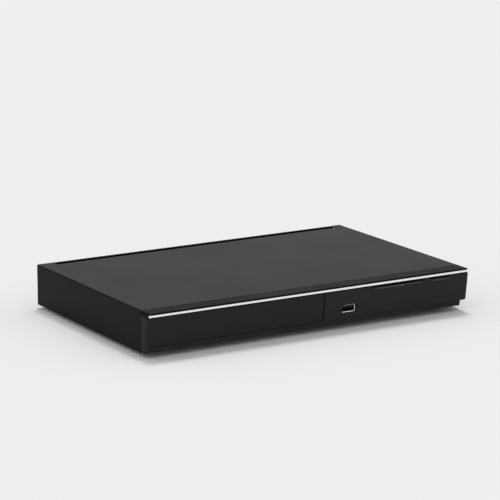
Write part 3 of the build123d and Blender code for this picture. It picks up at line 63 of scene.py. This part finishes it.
# Each capacitor's x, y, top and radius: the large one, then two rows of small ones.
LARGE_CAN = (140.0, 48.0, 33.6, 8.0)
SMALL_CAN_XS, SMALL_CAN_YS, SMALL_CAN_TOP, SMALL_CAN_RADIUS = (
    (102.0, 113.0, 124.0), (-6.0, 4.0), 23.6, 4.0)
CAN_RIM, CAN_DISC, CAN_RISE = 0.8, 1.0, 0.16
JACKS = {"video": 44.0, "left": 57.0, "right": 70.0}
JACK_Z, JACK_BARREL, JACK_FIT = 19.0, 4.15, 4.16
COLLAR_Y, COLLAR_LONG, COLLAR_BEVEL = 97.3, 1.3, 0.3
INSULATOR_Y, INSULATOR_HOLE, INSULATOR_RADIUS, INSULATOR_THICK = 105.0, 1.7, 3.3, 0.08
HDMI_X, HDMI_CONTACTS, HDMI_CONTACT_PITCH, HDMI_CONTACT_HALF = 24.0, 9, 1.1, 0.22
HDMI_CONTACT_Y, HDMI_CONTACT_Z = (87.0, 95.4), (12.16, 12.28)
HDMI_TONGUE = ((18.35, 86.6, 12.24), (29.65, 95.95, 13.66))
MAINS_X, MAINS_Y, MAINS_Z, PIN_OFFSET = 132.0, 82.5, 20.0, 4.3
PIN_OUTLINE = ((0.0, 0.0), (1.22, 0.0), (1.22, 9.2), (0.9, 10.2), (0.0, 10.6))
FLOOR_SIZE_M = 40.0
LAMP_ANGLE = math.radians(16.0)
LAMP_HEADING = (0.194, 0.31, 1.0)
# Sines of the heights between which gloss passes from the horizon to overhead.
GLOSS_FADE = (0.55, 0.95)
CAMERA_PLACE_M = (-1.0950, -1.8300, 0.5439)
CAMERA_TURN = (math.radians(77.01), 0.0, math.radians(-30.906))

bl_info = {
    "name": "Disc Player",
    "version": (1, 0, 0),
    "blender": (4, 5, 0),
    "location": "View3D > Sidebar > Disc Player",
    "description": "Dresses a slim disc player with a loading tray and sets its studio",
    "category": "Object",
}


def linear(hex_text):
    """An sRGB hex colour as linear red, green, blue and alpha."""
    channels = [int(hex_text[i:i + 2], 16) / 255 for i in (1, 3, 5)]
    return [c / 12.92 if c <= 0.04045 else ((c + 0.055) / 1.055) ** 2.4 for c in channels] + [1.0]


def colour(name, description, hex_text):
    """A colour setting with its sRGB default."""
    return bpy.props.FloatVectorProperty(
        name=name, description=description, subtype="COLOR", size=4, min=0.0, max=1.0,
        default=linear(hex_text))


def length(name, description, millimetres):
    """A length setting, in metres, from a default in millimetres."""
    return bpy.props.FloatProperty(
        name=name, description=description, subtype="DISTANCE", unit="LENGTH",
        default=millimetres / 1000, min=0.0, precision=5)


class CabinetSettings(bpy.types.PropertyGroup):
    cover: colour("Cover", "Powder coat on the folded cover and rear panel", "#0b0b0b")
    texture: length("Coat grain", "Width of one bump in the powder coat", 0.7)
    zinc: colour("Zinc", "Zinc plate on the floor pan and brackets", "#a9adaf")
    rubber: colour("Rubber", "Moulded feet", "#161616")


class FrontSettings(bpy.types.PropertyGroup):
    moulding: colour("Moulding", "ABS of the right panel, the cheeks and the lip", "#2f2f30")
    door: colour("Tray front", "ABS of the tray front", "#2c2c2d")
    strip: colour("Bright strip", "Plating on the strip along the top edge", "#f4f4f5")
    window: colour("Light window", "Smoked pipe over the status light", "#5a5b5d")


class LoaderSettings(bpy.types.PropertyGroup):
    tray: colour("Tray", "ABS of the disc tray", "#1d1d1e")
    frame: colour("Loader frame", "ABS of the loader frame", "#3c3d3f")
    gears: colour("Gears", "Acetal of the gears, cam and clamper", "#dedbd0")
    belt: colour("Belt", "Drive belt rubber", "#191919")


class SocketSettings(bpy.types.PropertyGroup):
    shell: colour("Socket shells", "Tinned and nickelled socket shells", "#c3c1bc")
    video: colour("Video ring", "Collar of the video jack", "#c9a514")
    left: colour("Left ring", "Collar of the left sound jack", "#d9d8d3")
    right: colour("Right ring", "Collar of the right sound jack", "#a81f1f")
    contact: colour("Contacts", "Gold flash on the contacts", "#c9a45a")
    ring: length("Collar width", "How far a jack's collar stands out from its barrel", 0.8)


class BoardSettings(bpy.types.PropertyGroup):
    mask: colour("Solder mask", "Lacquer on the main board", "#14502c")
    laminate: colour("Laminate", "Paper laminate of the power board", "#9c7a45")
    tape: colour("Tape", "Polyester tape round the transformer", "#c79a1e")


class StageSettings(bpy.types.PropertyGroup):
    background: colour("Background", "Floor and backdrop", "#efefef")
    lens: bpy.props.FloatProperty(
        name="Lens", description="Focal length on a 36 mm sensor", default=182.99,
        unit="CAMERA", min=10.0)
    key: bpy.props.FloatProperty(
        name="Top lamp", description="Irradiance of the lamp above the back right",
        default=1.06, min=0.0)
    dome: bpy.props.FloatProperty(
        name="Room", description="Strength of the light from the room", default=0.685, min=0.0)
    horizon: bpy.props.FloatProperty(
        name="Horizon", description="Strength of the pale wall that gloss sees low down",
        default=1.0, min=0.0)
    overhead: bpy.props.FloatProperty(
        name="Overhead", description="Strength of what gloss sees high up",
        default=0.08, min=0.0, max=1.0)


# ---- nodes and finishes ----
def add(tree, kind, settings=None, links=None):
    """Adds a node, gives it its settings and joins its inputs to other nodes' outputs."""
    node = tree.nodes.new(kind)
    for key, value in (settings or {}).items():
        if key == "stops":
            ramp = node.color_ramp
            for spot, (where, hex_text) in zip(ramp.elements, value):
                spot.position, spot.color = where, linear(hex_text)
        elif hasattr(node, str(key)):
            setattr(node, key, value)
        else:
            node.inputs[key].default_value = value
    for key, output in (links or {}).items():
        tree.links.new(output, node.inputs[key])
    return node


def blank(name, settings):
    """A new material: its tree, its shader with the given settings, and object coordinates."""
    material = bpy.data.materials.new(name)
    material.use_nodes = True
    tree = material.node_tree
    tree.nodes.clear()
    shader = add(tree, "ShaderNodeBsdfPrincipled", settings)
    add(tree, "ShaderNodeOutputMaterial", links={"Surface": shader.outputs["BSDF"]})
    place = add(tree, "ShaderNodeTexCoord").outputs["Object"]
    return material, tree, shader, place


def grain(tree, shader, place, width_mm, depth_mm, stretch=(1.0, 1.0, 1.0)):
    """Raised grain of the given width and depth, drawn out along an axis by a small stretch."""
    squeezed = add(tree, "ShaderNodeMapping", {"Scale": stretch}, {"Vector": place})
    noise = add(tree, "ShaderNodeTexNoise", {"Scale": 1000 / width_mm, "Detail": 2.0},
                {"Vector": squeezed.outputs["Vector"]})
    bump = add(tree, "ShaderNodeBump", {"Strength": 1.0, "Distance": depth_mm / 1000},
               {"Height": noise.outputs["Fac"]})
    tree.links.new(bump.outputs["Normal"], shader.inputs["Normal"])


def drift(tree, shader, place, socket, size_mm, low, high, stretch=(1.0, 1.0, 1.0)):
    """Slow variation of one shader value between low and high over patches of the given size."""
    squeezed = add(tree, "ShaderNodeMapping", {"Scale": stretch}, {"Vector": place})
    noise = add(tree, "ShaderNodeTexNoise", {"Scale": 1000 / size_mm, "Detail": 3.0},
                {"Vector": squeezed.outputs["Vector"]})
    spread = add(tree, "ShaderNodeMapRange",
                 {"From Min": NOISE_LOW, "From Max": NOISE_HIGH, "To Min": low, "To Max": high},
                 {"Value": noise.outputs["Fac"]})
    tree.links.new(spread.outputs["Result"], shader.inputs[socket])


def powder_coat(name, tint, grain_m):
    """Powder-coated steel, sprayed and baked: a dull black with a fine even bump."""
    material, tree, shader, place = blank(
        name, {"Base Color": tint, "IOR": 1.5, "Specular IOR Level": 0.039})
    drift(tree, shader, place, "Roughness", 45.0, 0.34, 0.37)
    grain(tree, shader, place, grain_m * 1000, 0.012)
    return material


def satin_abs(name, tint, roughness=0.42, level=0.02):
    """ABS moulded against a spark-eroded tool: black with a close satin grain."""
    material, tree, shader, place = blank(
        name, {"Base Color": tint, "IOR": 1.5, "Specular IOR Level": level})
    drift(tree, shader, place, "Roughness", 30.0, roughness - 0.03, roughness + 0.03)
    grain(tree, shader, place, 0.5, 0.008)
    return material


def plated_abs(name, tint):
    """Bright-plated ABS strip: a mirror that is slightly softened by the plastic's own waviness."""
    material, tree, shader, place = blank(name, {"Base Color": tint, "Metallic": 1.0})
    drift(tree, shader, place, "Roughness", 12.0, 0.12, 0.18)
    grain(tree, shader, place, 6.0, 0.004)
    return material


def zinc_plate(name, tint):
    """Zinc-plated sheet, rolled then dipped: pale grey with a faint spangle of crystals."""
    material, tree, shader, place = blank(name, {"Base Color": tint, "Metallic": 1.0})
    spangle = add(tree, "ShaderNodeTexVoronoi", {"Scale": 1000 / SPANGLE}, {"Vector": place})
    spread = add(tree, "ShaderNodeMapRange", {"To Min": 0.30, "To Max": 0.42},
                 {"Value": spangle.outputs["Distance"]})
    tree.links.new(spread.outputs["Result"], shader.inputs["Roughness"])
    grain(tree, shader, place, 0.5, 0.004, (0.06, 1.0, 1.0))
    return material


def nickel_plate(name, tint, roughness=0.26):
    """Nickel or tin on drawn steel: warm grey, with fine lines from drawing."""
    material, tree, shader, place = blank(name, {"Base Color": tint, "Metallic": 1.0})
    drift(tree, shader, place, "Roughness", 4.0, roughness - 0.05, roughness + 0.05)
    grain(tree, shader, place, 0.3, 0.003, (1.0, 0.1, 1.0))
    return material


def ground_steel(name):
    """Centreless-ground steel rod: bright, with fine rings round it."""
    material, tree, shader, place = blank(
        name, {"Base Color": linear("#c8cacc"), "Metallic": 1.0, "Roughness": 0.14})
    grain(tree, shader, place, 0.25, 0.002, (0.1, 1.0, 0.1))
    return material


def acetal(name, tint):
    """Moulded acetal: milky, a little waxy, and light passes a short way into it."""
    material, tree, shader, place = blank(
        name, {"Base Color": tint, "IOR": 1.48, "Subsurface Weight": 0.12,
               "Subsurface Scale": 0.001, "Specular IOR Level": 0.45})
    drift(tree, shader, place, "Roughness", 8.0, 0.34, 0.42)
    grain(tree, shader, place, 0.6, 0.004)
    return material


def moulded_rubber(name, tint):
    """Moulded rubber: dead matt, with a dusty bloom that varies over a few millimetres."""
    material, tree, shader, place = blank(
        name, {"Base Color": tint, "IOR": 1.52, "Specular IOR Level": 0.25})
    drift(tree, shader, place, "Roughness", 5.0, 0.74, 0.88)
    grain(tree, shader, place, 0.5, 0.02)
    return material


def solder_mask(name, tint):
    """Fibreglass board under green lacquer: copper tracks show as paler raised lines."""
    material, tree, shader, place = blank(name, {"IOR": 1.5, "Roughness": 0.32})
    tracks = add(tree, "ShaderNodeTexBrick",
                 {"Scale": 1000 / TRACK_PITCH, "Mortar Size": 0.06, "Mortar Smooth": 0.1,
                  "Color1": tint, "Color2": [c * 0.8 for c in tint[:3]] + [1.0],
                  "Mortar": [min(1.0, c * 1.9) for c in tint[:3]] + [1.0]},
                 {"Vector": place})
    tree.links.new(tracks.outputs["Color"], shader.inputs["Base Color"])
    bump = add(tree, "ShaderNodeBump", {"Distance": TRACK_RISE / 1000},
               {"Height": tracks.outputs["Fac"]})
    tree.links.new(bump.outputs["Normal"], shader.inputs["Normal"])
    return material


def paper_laminate(name, tint):
    """Bare phenolic paper board: tan, with a faint fibre."""
    material, tree, shader, place = blank(
        name, {"Base Color": tint, "IOR": 1.55, "Specular IOR Level": 0.35})
    drift(tree, shader, place, "Roughness", 3.0, 0.46, 0.6, (0.2, 1.0, 1.0))
    grain(tree, shader, place, 0.8, 0.01, (0.2, 1.0, 1.0))
    return material


def wound_tape(name, tint):
    """Polyester tape wound in layers: glossy, with the edge of each layer showing."""
    material, tree, shader, place = blank(
        name, {"Base Color": tint, "IOR": 1.6, "Coat Weight": 0.3})
    drift(tree, shader, place, "Roughness", 6.0, 0.25, 0.36)
    grain(tree, shader, place, 1.4, 0.03, (0.1, 0.1, 1.0))
    return material


def clear_polycarbonate(name, tint):
    """Moulded polycarbonate light pipe, frosted behind: pale where it catches the light."""
    material, tree, shader, place = blank(
        name, {"Base Color": tint, "IOR": 1.58, "Transmission Weight": 0.35})
    drift(tree, shader, place, "Roughness", 3.0, 0.22, 0.32)
    return material


def coated_glass(name):
    """Polished lens glass with a blue-violet antireflection coat."""
    material, tree, shader, _ = blank(
        name, {"IOR": 1.52, "Roughness": 0.03, "Transmission Weight": 0.7,
               "Coat Weight": 0.6, "Coat Tint": linear("#7d7bff")})
    facing = add(tree, "ShaderNodeLayerWeight", {"Blend": 0.4})
    tint = add(tree, "ShaderNodeValToRGB", {"stops": [(0.0, "#5a6cc8"), (1.0, "#9d63b8")]},
               {"Fac": facing.outputs["Facing"]})
    tree.links.new(tint.outputs["Color"], shader.inputs["Base Color"])
    return material


# ---- mesh tools ----
def solid(name, mesh_tool, body, material, replaces=()):
    """Makes a piece from an edited mesh, in its place, riding on a body."""
    mesh = bpy.data.meshes.new(name)
    bmesh.ops.recalc_face_normals(mesh_tool, faces=mesh_tool.faces)
    mesh_tool.to_mesh(mesh)
    mesh_tool.free()
    mesh.materials.append(material)
    piece = bpy.data.objects.new(name, mesh)
    bpy.context.scene.collection.objects.link(piece)
    for face in mesh.polygons:
        face.use_smooth = True
    mesh.set_sharp_from_angle(angle=SHARP_ANGLE)
    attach(piece, body)
    if replaces:
        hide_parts(*replaces)
    return piece


def lathe(mesh_tool, outline, centre, axis="Z", steps=48):
    """Turns a closed (radius, height) outline round an axis through centre, in millimetres."""
    turn = {"Z": Matrix.Identity(3), "Y": Matrix.Rotation(math.radians(-90), 3, "X")}[axis]
    rings = []
    for step in range(steps):
        angle = math.tau * step / steps
        ring = []
        for radius, height in outline:
            spot = Vector((radius * math.cos(angle), radius * math.sin(angle), height))
            ring.append(mesh_tool.verts.new((turn @ spot + Vector(centre)) / 1000))
        rings.append(ring)
    for here, after in zip(rings, rings[1:] + rings[:1]):
        for low in range(len(outline)):
            high = (low + 1) % len(outline)
            mesh_tool.faces.new((here[low], after[low], after[high], here[high]))
    bmesh.ops.remove_doubles(mesh_tool, verts=mesh_tool.verts, dist=WELD_M)


def block(mesh_tool, low, high, edge):
    """A box between two corners in millimetres, with its edges broken."""
    made = bmesh.ops.create_cube(mesh_tool, size=1.0)["verts"]
    low, high = Vector(low) / 1000, Vector(high) / 1000
    for vert in made:
        for i in range(3):
            vert.co[i] = low[i] if vert.co[i] < 0 else high[i]
    edges = list({e for v in made for e in v.link_edges})
    bmesh.ops.bevel(mesh_tool, geom=edges, offset=edge / 1000, segments=2, affect="EDGES",
                    profile=0.5, clamp_overlap=True)


def port_shell(mesh_tool, centre, front_y, rear_y):
    """A drawn steel port shell, open in front, with its four lips bent a little outwards."""
    def loop(half_width, half_height, corner, y, flare=0.0):
        """One closed ring of the shell's section, with the middles of its sides moved out."""
        ring = []
        for quarter in range(4):
            for step in range(5):
                angle = math.radians(90 * quarter + 22.5 * step)
                x = (half_width - corner) * (1 if quarter in (0, 3) else -1)
                z = (half_height - corner) * (1 if quarter < 2 else -1)
                across, up = math.cos(angle), math.sin(angle)
                side_flare = flare * PORT_SIDE_FLARE if abs(across) > PORT_FLAT else 0.0
                top_flare = flare if abs(up) > PORT_FLAT else 0.0
                out_x = corner * across + side_flare * across
                out_z = corner * up + top_flare * up
                ring.append(mesh_tool.verts.new(((centre[0] + x + out_x) / 1000, y / 1000,
                                                 (centre[1] + z + out_z) / 1000)))
        return ring

    # Outside from the rear to the lip, then back inside, with the lips' flare at the end.
    rings = [loop(*PORT_OUTER, rear_y), loop(*PORT_OUTER, front_y + 0.2),
             loop(*PORT_OUTER, front_y - 0.5, 0.32), loop(*PORT_LIP, front_y - 0.8, 0.38),
             loop(*PORT_INNER, front_y - 0.7, 0.2), loop(*PORT_INNER, front_y + 0.2),
             loop(*PORT_INNER, rear_y - 0.4)]
    for here, after in zip(rings, rings[1:]):
        for i, vert in enumerate(here):
            j = (i + 1) % len(here)
            mesh_tool.faces.new((vert, here[j], after[j], after[i]))
    mesh_tool.faces.new(rings[-1])
    mesh_tool.faces.new(list(reversed(rings[0])))


def strip_bar(mesh_tool, low, high):
    """A flat-faced bar with its two front corners rounded in plan and its long edges broken."""
    points = [(high[0], high[1]), (low[0], high[1])]
    for end, start in ((low[0], 180), (high[0], 270)):
        middle = end + (STRIP_CORNER if end < 0 else -STRIP_CORNER)
        points += [(middle + STRIP_CORNER * math.cos(math.radians(start + turn)),
                    low[1] + STRIP_CORNER + STRIP_CORNER * math.sin(math.radians(start + turn)))
                   for turn in range(0, 91, 15)]
    rings = []
    for z, inset in ((low[2], STRIP_EDGE), (low[2] + STRIP_EDGE, 0.0),
                     (high[2] - STRIP_EDGE, 0.0), (high[2], STRIP_EDGE)):
        ring = [mesh_tool.verts.new((x / 1000, (max(y, low[1] + inset)) / 1000, z / 1000))
                for x, y in points]
        rings.append(ring)
    for lower, upper in zip(rings, rings[1:]):
        for i, vert in enumerate(lower):
            j = (i + 1) % len(lower)
            mesh_tool.faces.new((vert, lower[j], upper[j], upper[i]))
    mesh_tool.faces.new(list(reversed(rings[0])))
    mesh_tool.faces.new(rings[-1])


def dress(material, *nodes):
    """Gives carried-over CAD nodes a finish through their objects' material slots."""
    for node in nodes:
        for slot in frame["nodes"][node].material_slots:
            slot.link = "OBJECT"
            slot.material = material


# ---- operators ----
class PLAYER_OT_cabinet(bpy.types.Operator):
    """Finishes the folded cover, rear panel, floor pan, feet and screws"""
    bl_idname = "player.cabinet"
    bl_label = "Cabinet"

    def execute(self, context):
        settings = context.scene.player_cabinet
        coat = powder_coat("powder_coat_black", settings.cover, settings.texture)
        dress(coat, "top_cover", "rear_panel")
        dress(zinc_plate("zinc_plate_sheet", settings.zinc), "base_chassis")
        dress(nickel_plate("zinc_plate_screws", linear("#8f9294"), 0.34), "cabinet_screws",
              "inner_screws", "damper_screws")
        dress(moulded_rubber("rubber_feet", settings.rubber), "feet")
        return {"FINISHED"}


class PLAYER_OT_front(bpy.types.Operator):
    """Finishes the trim, bright strip, front, tray front, keys and light window"""
    bl_idname = "player.front"
    bl_label = "Front"

    def execute(self, context):
        settings = context.scene.player_front
        moulding = satin_abs("abs_front_satin", settings.moulding)
        dress(moulding, "front_bezel")
        dress(satin_abs("abs_tray_front_satin", settings.door), "tray_front")
        dress(satin_abs("abs_trim_satin", linear("#0b0b0b"), 0.44, 0.024), "top_trim")
        # The keys' light grey is a painted highlight: it stands in for the light their chamfered
        # top ledges catch.
        dress(satin_abs("abs_keys_painted_highlight", linear("#4a4a4b"), 0.36, 0.1), "power_button",
              "open_button", "play_button")
        tool = bmesh.new()
        strip_bar(tool, *STRIP_BOX)
        solid("bright_strip_bar", tool, "cabinet", plated_abs("bright_plated_abs", settings.strip),
              replaces=("bright_strip",))
        dress(clear_polycarbonate("polycarbonate_window", settings.window), "status_window",
              "status_led")
        return {"FINISHED"}


class PLAYER_OT_loader(bpy.types.Operator):
    """Finishes the disc tray, loader frame, its motor and gear train, and the clamp"""
    bl_idname = "player.loader"
    bl_label = "Loader"

    def execute(self, context):
        settings = context.scene.player_loader
        dress(satin_abs("abs_tray", settings.tray, 0.36, 0.4), "disc_tray")
        dress(satin_abs("abs_loader_frame", settings.frame, 0.5, 0.4), "loader_frame")
        dress(acetal("acetal_gears", settings.gears), "tray_gear", "pulley_gear",
              "motor_pulley", "cam_slider", "clamper", "sled_gear", "sled_pinion",
              "pickup_rack")
        dress(moulded_rubber("rubber_belt", settings.belt), "loading_belt", "deck_dampers",
              "turntable_pad")
        dress(nickel_plate("nickel_motor_cans", linear("#b3b1ab"), 0.3), "loading_motor",
              "sled_motor", "rotor_can", "clamper_magnet")
        dress(zinc_plate("zinc_plate_brackets", context.scene.player_cabinet.zinc),
              "clamp_bridge", "mechanism_deck")
        dress(satin_abs("abs_deck_frame", linear("#19191a"), 0.45, 0.4), "lifting_frame",
              "turntable", "lens_holder", "spindle_motor")
        dress(ground_steel("steel_rods"), "guide_rods")
        dress(nickel_plate("zinc_casting", linear("#77777a"), 0.42), "pickup_body")
        dress(coated_glass("lens_glass"), "objective_lens")
        return {"FINISHED"}


class PLAYER_OT_boards(bpy.types.Operator):
    """Finishes the boards, the parts on them and their cables"""
    bl_idname = "player.boards"
    bl_label = "Boards"

    def execute(self, context):
        settings = context.scene.player_boards
        dress(solder_mask("solder_mask_green", settings.mask), "main_board", "usb_board")
        dress(paper_laminate("paper_laminate_tan", settings.laminate), "power_board",
              "key_board")
        dress(satin_abs("epoxy_black", linear("#1a1a1b"), 0.5, 0.4), "main_chips",
              "switch_bodies", "remote_receiver", "capacitors", "power_plunger",
              "open_plunger", "play_plunger")
        tool = bmesh.new()
        block(tool, *BOBBIN_BOX, edge=0.6)
        solid("transformer_bobbin", tool, "cabinet",
              satin_abs("phenolic_bobbin", linear("#161616"), 0.45, 0.4),
              replaces=("transformer",))
        tool = bmesh.new()
        for low, high in CORE_BARS:
            block(tool, low, high, edge=0.35)
        solid("transformer_core", tool, "cabinet",
              nickel_plate("sintered_ferrite", linear("#3a3a3d"), 0.5))
        tool = bmesh.new()
        block(tool, *WINDING_BOX, edge=2.4)
        solid("transformer_winding", tool, "cabinet",
              wound_tape("polyester_tape", settings.tape))
        tool = bmesh.new()
        cans = [LARGE_CAN]
        cans += [(x, y, SMALL_CAN_TOP, SMALL_CAN_RADIUS)
                 for x in SMALL_CAN_XS for y in SMALL_CAN_YS]
        for x, y, top, radius in cans:
            lathe(tool, [(0.0, 0.0), (radius - CAN_RIM, 0.0), (radius - CAN_RIM, 0.1),
                         (radius - CAN_DISC, CAN_RISE), (0.0, CAN_RISE)], (x, y, top))
        solid("capacitor_tops", tool, "cabinet",
              nickel_plate("bare_aluminium", linear("#b9bbbd"), 0.32))
        dress(satin_abs("pvc_cable", linear("#d4d3cc"), 0.45, 0.5), "inner_cables")
        return {"FINISHED"}


class PLAYER_OT_sockets(bpy.types.Operator):
    """Finishes the sockets and adds their collars, insulators, pins, contacts and the port's shell
    """
    bl_idname = "player.sockets"
    bl_label = "Sockets"

    def execute(self, context):
        settings = context.scene.player_sockets
        shell = nickel_plate("nickel_shells", settings.shell)
        black = satin_abs("pbt_black", linear("#17171a"), 0.42, 0.45)
        gold = nickel_plate("gold_flash", settings.contact, 0.22)
        dress(shell, "hdmi_socket", "av_jacks")
        tool = bmesh.new()
        port_shell(tool, (USB_X, USB_Z), USB_FRONT, USB_REAR)
        solid("usb_rolled_shell", tool, "cabinet",
              nickel_plate("bright_tin_shell", linear("#ece8e0"), 0.14),
              replaces=("usb_shell",))
        dress(satin_abs("pbt_charcoal", linear("#1c1c1e"), 0.42, 0.2), "usb_tongue")
        dress(black, "mains_inlet")
        for ring, x in JACKS.items():
            tint = getattr(settings, ring)
            outer = JACK_BARREL + settings.ring * 1000
            tool = bmesh.new()
            lathe(tool, [(JACK_FIT, 0.0), (outer, 0.0), (outer, COLLAR_LONG - COLLAR_BEVEL),
                         (outer - COLLAR_BEVEL, COLLAR_LONG), (JACK_FIT, COLLAR_LONG)],
                  (x, COLLAR_Y, JACK_Z), "Y")
            solid(f"{ring}_jack_collar", tool, "cabinet",
                  satin_abs(f"abs_collar_{ring}", tint, 0.35, 0.5))
        tool = bmesh.new()
        for x in JACKS.values():
            lathe(tool, [(INSULATOR_HOLE, 0.0), (INSULATOR_RADIUS, 0.0),
                         (INSULATOR_RADIUS, INSULATOR_THICK), (INSULATOR_HOLE, INSULATOR_THICK)],
                  (x, INSULATOR_Y, JACK_Z), "Y")
        solid("jack_insulators", tool, "cabinet",
              acetal("acetal_insulators", linear("#cfcdc6")))
        tool = bmesh.new()
        block(tool, *HDMI_TONGUE, edge=0.15)
        solid("hdmi_tongue", tool, "cabinet", black)
        tool = bmesh.new()
        for side in (-1, 1):
            lathe(tool, PIN_OUTLINE, (MAINS_X + side * PIN_OFFSET, MAINS_Y, MAINS_Z), "Y", steps=24)
        solid("mains_pins", tool, "cabinet", shell)
        tool = bmesh.new()
        for step in range(USB_CONTACTS):
            x = USB_X + (step - (USB_CONTACTS - 1) / 2) * USB_CONTACT_PITCH
            block(tool, (x - USB_CONTACT_HALF, USB_CONTACT_Y[0], USB_CONTACT_Z[0]),
                  (x + USB_CONTACT_HALF, USB_CONTACT_Y[1], USB_CONTACT_Z[1]), edge=0.04)
        solid("usb_contacts", tool, "cabinet", gold)
        tool = bmesh.new()
        for step in range(HDMI_CONTACTS):
            x = HDMI_X + (step - (HDMI_CONTACTS - 1) / 2) * HDMI_CONTACT_PITCH
            block(tool, (x - HDMI_CONTACT_HALF, HDMI_CONTACT_Y[0], HDMI_CONTACT_Z[0]),
                  (x + HDMI_CONTACT_HALF, HDMI_CONTACT_Y[1], HDMI_CONTACT_Z[1]), edge=0.03)
        solid("hdmi_contacts", tool, "cabinet", gold)
        return {"FINISHED"}


class PLAYER_OT_stage(bpy.types.Operator):
    """Sets the floor, the soft top lamp, the room light and the camera"""
    bl_idname = "player.stage"
    bl_label = "Studio"

    def execute(self, context):
        settings = context.scene.player_stage
        scene = context.scene
        tool = bmesh.new()
        bmesh.ops.create_grid(tool, x_segments=8, y_segments=8, size=FLOOR_SIZE_M)
        mesh = bpy.data.meshes.new("studio_floor")
        tool.to_mesh(mesh)
        tool.free()
        floor = bpy.data.objects.new("studio_floor", mesh)
        scene.collection.objects.link(floor)
        material, tree, shader, place = blank(
            "matt_paper_floor", {"Base Color": settings.background, "Specular IOR Level": 0.0})
        drift(tree, shader, place, "Roughness", 200.0, 0.9, 1.0)
        mesh.materials.append(material)
        lamp = bpy.data.lights.new("top_lamp", "SUN")
        lamp.energy = settings.key
        lamp.angle = LAMP_ANGLE
        holder = bpy.data.objects.new("top_lamp", lamp)
        holder.rotation_euler = Vector(LAMP_HEADING).to_track_quat("Z", "Y").to_euler()
        scene.collection.objects.link(holder)
        world = bpy.data.worlds.new("studio_room")
        scene.world = world
        world.use_nodes = True
        tree = world.node_tree
        tree.nodes.clear()
        room = add(tree, "ShaderNodeBackground", {"Color": linear("#ffffff"),
                                                  "Strength": settings.dome})
        plain = add(tree, "ShaderNodeBackground", {"Color": settings.background,
                                                   "Strength": 1.0})
        heading = add(tree, "ShaderNodeTexCoord").outputs["Generated"]
        height = add(tree, "ShaderNodeSeparateXYZ", None, {"Vector": heading}).outputs["Z"]
        fade = add(tree, "ShaderNodeMapRange",
                   {"From Min": GLOSS_FADE[0], "From Max": GLOSS_FADE[1],
                    "To Min": settings.horizon, "To Max": settings.overhead}, {"Value": height})
        gloss = add(tree, "ShaderNodeBackground", {"Color": settings.background},
                    {"Strength": fade.outputs["Result"]})
        path = add(tree, "ShaderNodeLightPath")
        lit = add(tree, "ShaderNodeMixShader", None,
                  {0: path.outputs["Is Glossy Ray"], 1: room.outputs["Background"],
                   2: gloss.outputs["Background"]})
        seen = add(tree, "ShaderNodeMath", {"operation": "MAXIMUM"},
                   {0: path.outputs["Is Camera Ray"], 1: path.outputs["Is Transmission Ray"]})
        mix = add(tree, "ShaderNodeMixShader", None,
                  {0: seen.outputs["Value"], 1: lit.outputs["Shader"],
                   2: plain.outputs["Background"]})
        add(tree, "ShaderNodeOutputWorld", None, {"Surface": mix.outputs["Shader"]})
        camera = bpy.data.cameras.new("studio_camera")
        camera.lens = settings.lens
        camera.sensor_width = 36.0
        camera.clip_start = 0.01
        camera.clip_end = 200.0
        holder = bpy.data.objects.new("studio_camera", camera)
        holder.location = CAMERA_PLACE_M
        holder.rotation_euler = CAMERA_TURN
        scene.collection.objects.link(holder)
        scene.camera = holder
        scene.view_settings.view_transform = "Standard"
        return {"FINISHED"}


class PLAYER_PT_panel(bpy.types.Panel):
    """Lists the disc player's steps and settings"""
    bl_label = "Disc Player"
    bl_idname = "PLAYER_PT_panel"
    bl_space_type = "VIEW_3D"
    bl_region_type = "UI"
    bl_category = "Disc Player"

    def draw(self, context):
        for operator, group in zip(OPERATORS, GROUPS):
            box = self.layout.box()
            box.operator(operator.bl_idname)
            settings = getattr(context.scene, group)
            for name in settings.__annotations__:
                box.prop(settings, name)


GROUPS = {
    "player_cabinet": CabinetSettings,
    "player_front": FrontSettings,
    "player_loader": LoaderSettings,
    "player_boards": BoardSettings,
    "player_sockets": SocketSettings,
    "player_stage": StageSettings,
}
OPERATORS = (PLAYER_OT_cabinet, PLAYER_OT_front, PLAYER_OT_loader, PLAYER_OT_boards,
             PLAYER_OT_sockets, PLAYER_OT_stage)


def register():
    """Registers the settings, the operators and the panel."""
    for name, group in GROUPS.items():
        bpy.utils.register_class(group)
        setattr(bpy.types.Scene, name, bpy.props.PointerProperty(type=group))
    for operator in OPERATORS:
        bpy.utils.register_class(operator)
    bpy.utils.register_class(PLAYER_PT_panel)


def unregister():
    """Takes the panel, the operators and the settings away again."""
    bpy.utils.unregister_class(PLAYER_PT_panel)
    for operator in reversed(OPERATORS):
        bpy.utils.unregister_class(operator)
    for name, group in reversed(GROUPS.items()):
        delattr(bpy.types.Scene, name)
        bpy.utils.unregister_class(group)


def main():
    register()
    bpy.ops.player.cabinet()
    bpy.ops.player.front()
    bpy.ops.player.loader()
    bpy.ops.player.boards()
    bpy.ops.player.sockets()
    bpy.ops.player.stage()


if __name__ == "__main__":
    main()
